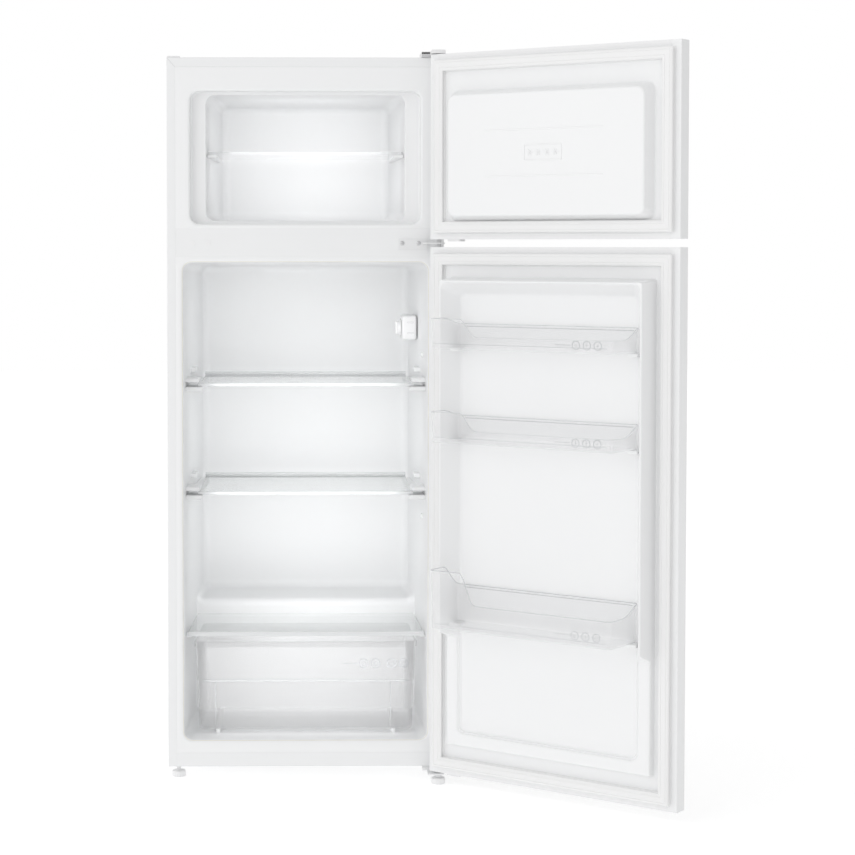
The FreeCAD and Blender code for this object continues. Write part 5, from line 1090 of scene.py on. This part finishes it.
def thermostat_dial():
    """A fluted dial with a raised grip across it and a dark pointer."""
    x, y, z = spans(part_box("thermostat_knob"))
    centre = Vector((x[0], (y[0] + y[1]) / 2, (z[0] + z[1]) / 2))
    radius = (y[1] - y[0]) / 2
    profile = [(radius * share, DIAL_FACE + distance) for share, distance in DIAL_EDGE] + [(radius, DIAL_END)]
    dial = Moulding()
    dial.turn(profile, centre, "x", steps=72,
              flute=flutes(DIAL_FLUTES, DIAL_FLUTE_DEPTH, DIAL_FACE + DIAL_FLUTE_START))
    half, reach = GRIP_HALF
    dial.block(centre - Vector((0, half, reach)), centre + Vector((DIAL_FACE + DIAL_FLUTE_START, half, reach)),
               GRIP_ROUND, 0, 4)
    dial.block(centre + Vector((DIAL_FACE - POINTER_SINK, -POINTER_HALF, POINTER_START)),
               centre + Vector((DIAL_FACE + POINTER_HALF, POINTER_HALF, reach)), POINTER_ROUND, 1)
    dial.done("thermostat_dial", "thermostat_knob", ["white_plastic", "painted_shade_and_pointer_ink"],
              ["thermostat_knob"])


# ---------------------------------------------------------------- screws and feet
SCREW_RADIUS = 0.0045
SCREW_HEIGHT = 0.0022
# A pan head's section: share of the radius, share of the height.
SCREW_HEAD = ((1.0, 0.0), (1.0, 0.35), (0.93, 0.62), (0.75, 0.86), (0.45, 0.98), (0.12, 1.0))
CROSS_LONG = 0.0026
CROSS_SHORT = 0.0005
CROSS_DEPTH = 0.00025
CROSS_ROUND = 0.0001
CROSS_SINK = 0.0001
LEVEL_SCREW_HEIGHT = 0.012
BOTTOM_HINGE_TOP = 0.1
SOLID_GAP = 0.00001


def cross_screw(shape, centre, direction, along):
    """A pan head with a cross recess, standing on centre. The recess is a dark block of painted shade."""
    profile = [(SCREW_RADIUS * reach, direction * SCREW_HEIGHT * share) for reach, share in SCREW_HEAD]
    shape.turn(profile, centre, along, steps=28)
    lift = direction * (SCREW_HEIGHT - CROSS_SINK)
    # Dark cross blocks: painted shade in the recess.
    for long_way, short_way in ((CROSS_LONG, CROSS_SHORT), (CROSS_SHORT, CROSS_LONG)):
        if along == "y":
            place, half = Vector((0, lift, 0)), Vector((long_way, CROSS_DEPTH, short_way))
        else:
            place, half = Vector((0, 0, lift)), Vector((long_way, short_way, CROSS_DEPTH))
        shape.block(centre + place - half, centre + place + half, CROSS_ROUND, 1)


def hinge_screws():
    """Two screws in each bracket, where the plain screws of the model stand."""
    shape = Moulding()
    for low, high in solid_boxes("hinge_screws"):
        middle = (low + high) / 2
        if high.y - low.y > LEVEL_SCREW_HEIGHT:
            cross_screw(shape, Vector((middle.x, low.y + SCREW_HEIGHT, middle.z)), -1, "y")
        elif low.z < BOTTOM_HINGE_TOP:
            cross_screw(shape, Vector((middle.x, middle.y, low.z + SCREW_HEIGHT)), -1, "z")
        else:
            cross_screw(shape, Vector((middle.x, middle.y, high.z - SCREW_HEIGHT)), 1, "z")
    shape.done("hinge_screw_heads", "cabinet", ["zinc", "painted_shade_and_pointer_ink"], ["hinge_screws"])


def solid_boxes(node):
    """The corners of each separate solid of a node."""
    mesh = bmesh.new()
    mesh.from_mesh(frame["nodes"][node].data)
    bmesh.ops.remove_doubles(mesh, verts=mesh.verts, dist=SOLID_GAP)
    left = set(mesh.verts)
    found = []
    while left:
        stack = [left.pop()]
        part = []
        while stack:
            vertex = stack.pop()
            part.append(vertex.co.copy())
            for edge in vertex.link_edges:
                other = edge.other_vert(vertex)
                if other in left:
                    left.remove(other)
                    stack.append(other)
        found.append(corners_of(part))
    mesh.free()
    return sorted(found, key=lambda corners: tuple(corners[0]))


FOOT_CUP = 0.0125
FOOT_STEPS = 96
FOOT_FLUTES = 16
FOOT_FLUTE_DEPTH = 0.035
FOOT_FLUTE_END = 0.001
FOOT_HUB = 0.0078
FOOT_HUB_TOP = 0.0070
FOOT_HUB_RISE = 0.0008
STUD_RADIUS = 0.004
STUD_START = 0.0009


def levelling_foot(node, body):
    """A straight-sided foot with grip flutes round it, on the stud that levels it."""
    x, y, (_, top) = spans(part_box(node))
    radius = (x[1] - x[0]) / 2
    profile = [(radius - 0.0022, 0.0), (radius - 0.0008, 0.0005), (radius - 0.0002, 0.0018),
               (radius, FOOT_CUP - 0.0022), (radius - 0.0007, FOOT_CUP - 0.0007), (radius - 0.0022, FOOT_CUP),
               (FOOT_HUB, FOOT_CUP), (FOOT_HUB_TOP, FOOT_CUP + FOOT_HUB_RISE),
               (STUD_RADIUS, FOOT_CUP + STUD_START), (STUD_RADIUS, top)]
    grooves = flutes(FOOT_FLUTES, FOOT_FLUTE_DEPTH, FOOT_FLUTE_END, FOOT_CUP - FOOT_FLUTE_END)
    shape = Moulding()
    shape.turn(profile, (sum(x) / 2, sum(y) / 2, 0.0), "z", steps=FOOT_STEPS, flute=grooves)
    shape.done(node + "_turned", body, ["white_plastic"], [node])


# ---------------------------------------------------------------- nodes that keep their own shape
EDGE_SOFTNESS = {"white_enamel": 0.0005, "white_plastic": 0.0006, "white_coated_steel": 0.0005,
                 "black_enamel": 0.0008, "galvanised": 0.0003, "shelf_glass": 0.0005, "zinc": 0.0003,
                 "black_plastic": 0.0005, "black_rubber": 0.0006, "grey_plastic": 0.0004}
EASED_ANGLE = math.radians(40)
# Broad flat sheets whose edges are hidden or lapped keep their plain faces.
FLAT_SHEETS = ("mullion_cover",)


def dress_node(node, slot):
    """Give a carried node its finish, and ease its sharp edges."""
    piece = frame["nodes"][node]
    piece.data.materials.clear()
    piece.data.materials.append(FINISHES[slot])
    if slot in EDGE_SOFTNESS and node not in FLAT_SHEETS:
        weld = piece.modifiers.new("weld", "WELD")
        weld.merge_threshold = WELD
        bevel = piece.modifiers.new("eased_edges", "BEVEL")
        bevel.width = EDGE_SOFTNESS[slot]
        bevel.segments = 2
        bevel.limit_method = "ANGLE"
        bevel.angle_limit = EASED_ANGLE
        bevel.use_clamp_overlap = True
        even_faces(piece)


def dress_nodes():
    slots = {part["node"]: part["material_slot"] for part in frame["record"]["subparts"]}
    for node, piece in frame["nodes"].items():
        if not piece.hide_render:
            dress_node(node, slots[node])


# ---------------------------------------------------------------- stage
WHITE = (1.0, 1.0, 1.0, 1.0)
# The studio is brighter on the left than on the right, and the floor is a lit panel.
STUDIO_LEFT = 1.06
STUDIO_RIGHT = 0.54
FLOOR_HALF = 14.0
FLOOR_PARTS = 12
FLOOR_TONES = ((0.66, 0.66, 0.66), (0.68, 0.68, 0.68))
FLOOR_GLOW = 0.50

# Each row: name, place, what it points at, width and height, watts, and how far its light
# spreads.  The last three stand just inside the compartments and shine on their back walls.
LIGHTS = (
    ("key_softbox", (-2.4, -3.2, 2.2), (0.0, 0.2, 0.8), (1.8, 1.8), 13.0, 180),
    ("fridge_fill", (0.0, 0.030, 0.66), (0.0, 1.0, 0.66), (0.36, 0.66), 0.62, 140),
    ("drawer_fill", (0.0, 0.030, 0.19), (0.0, 1.0, 0.06), (0.40, 0.16), 0.31, 155),
    ("freezer_fill", (0.0, 0.040, 1.235), (0.0, 1.0, 1.235), (0.30, 0.16), 0.25, 120),
)

CAMERA_PLACE = (0.0, -4.264, 1.062)
CAMERA_TURN = 0.74
CAMERA_DIP = 2.37
CAMERA_LENS = 91.2
CAMERA_SENSOR = 36.0
CAMERA_SHIFT = (0.11, -0.1082)


def add_to_scene(name, data):
    made = bpy.data.objects.new(name, data)
    bpy.context.scene.collection.objects.link(made)
    return made


def studio_world():
    """Soft light from all round, and a white backdrop where the camera looks past the object."""
    world = bpy.data.worlds.new("studio")
    bpy.context.scene.world = world
    studio = Nodes(world)
    direction = studio.node("ShaderNodeTexCoord", output="Generated")
    sideways = studio.node("ShaderNodeSeparateXYZ", None, {"Vector": direction}, output="X")
    light = studio.ramp(sideways, -1.0, 1.0, STUDIO_LEFT, STUDIO_RIGHT)
    seen = studio.node("ShaderNodeLightPath", output="Is Camera Ray")
    strength = light + (1.0 - light) * seen
    backdrop = studio.node("ShaderNodeBackground", None, {"Color": WHITE, "Strength": strength})
    studio.node("ShaderNodeOutputWorld", None, {"Surface": backdrop})


def studio_floor():
    """A plain pale floor, lit evenly."""
    mesh = bmesh.new()
    places = evenly(-FLOOR_HALF, FLOOR_HALF, FLOOR_PARTS)
    rows = [[mesh.verts.new((x, y, 0.0)) for x in places] for y in places]
    for low, high in zip(rows, rows[1:]):
        for k in range(FLOOR_PARTS):
            mesh.faces.new((low[k], low[k + 1], high[k + 1], high[k]))
    data = bpy.data.meshes.new("studio_floor")
    mesh.to_mesh(data)
    mesh.free()
    finish = Finish("floor_paint")
    tone = finish.blend(finish.grain(2.0), *FLOOR_TONES)
    data.materials.append(finish.surface(Base_Color=tone, Roughness=1.0, Specular_IOR_Level=0.0,
                                         Emission_Color=WHITE, Emission_Strength=FLOOR_GLOW))
    add_to_scene("studio_floor", data)


def studio_lights():
    for name, place, aim, size, power, spread in LIGHTS:
        light = bpy.data.lights.new(name, "AREA")
        light.spread = math.radians(spread)
        light.shape = "RECTANGLE"
        light.size, light.size_y = size
        light.energy = power
        lamp = add_to_scene(name, light)
        lamp.location = place
        lamp.rotation_euler = (Vector(aim) - Vector(place)).to_track_quat("-Z", "Y").to_euler()


def camera():
    data = bpy.data.cameras.new("camera")
    data.lens = CAMERA_LENS
    data.sensor_width = CAMERA_SENSOR
    data.shift_x, data.shift_y = CAMERA_SHIFT
    made = add_to_scene("camera", data)
    made.location = CAMERA_PLACE
    made.rotation_euler = (math.radians(90 - CAMERA_DIP), 0.0, math.radians(-CAMERA_TURN))
    bpy.context.scene.camera = made


fridge_liner()
freezer_liner()
for door_name in ("freezer_door", "fridge_door"):
    door_seal(door_name)
freezer_door_liner()
fridge_door_liner()
for rack_name, rises in RACK_SIZES.items():
    rack(rack_name, *rises)
for shelf_name in ("upper_shelf", "lower_shelf"):
    shelf(shelf_name)
crisper()
lamp_housing()
thermostat_dial()
corner_seams()
hinge_screws()
levelling_foot("left_levelling_foot", "left_foot")
levelling_foot("right_levelling_foot", "right_foot")
dress_nodes()
studio_world()
studio_floor()
studio_lights()
camera()

bpy.context.scene.view_settings.view_transform = "Standard"
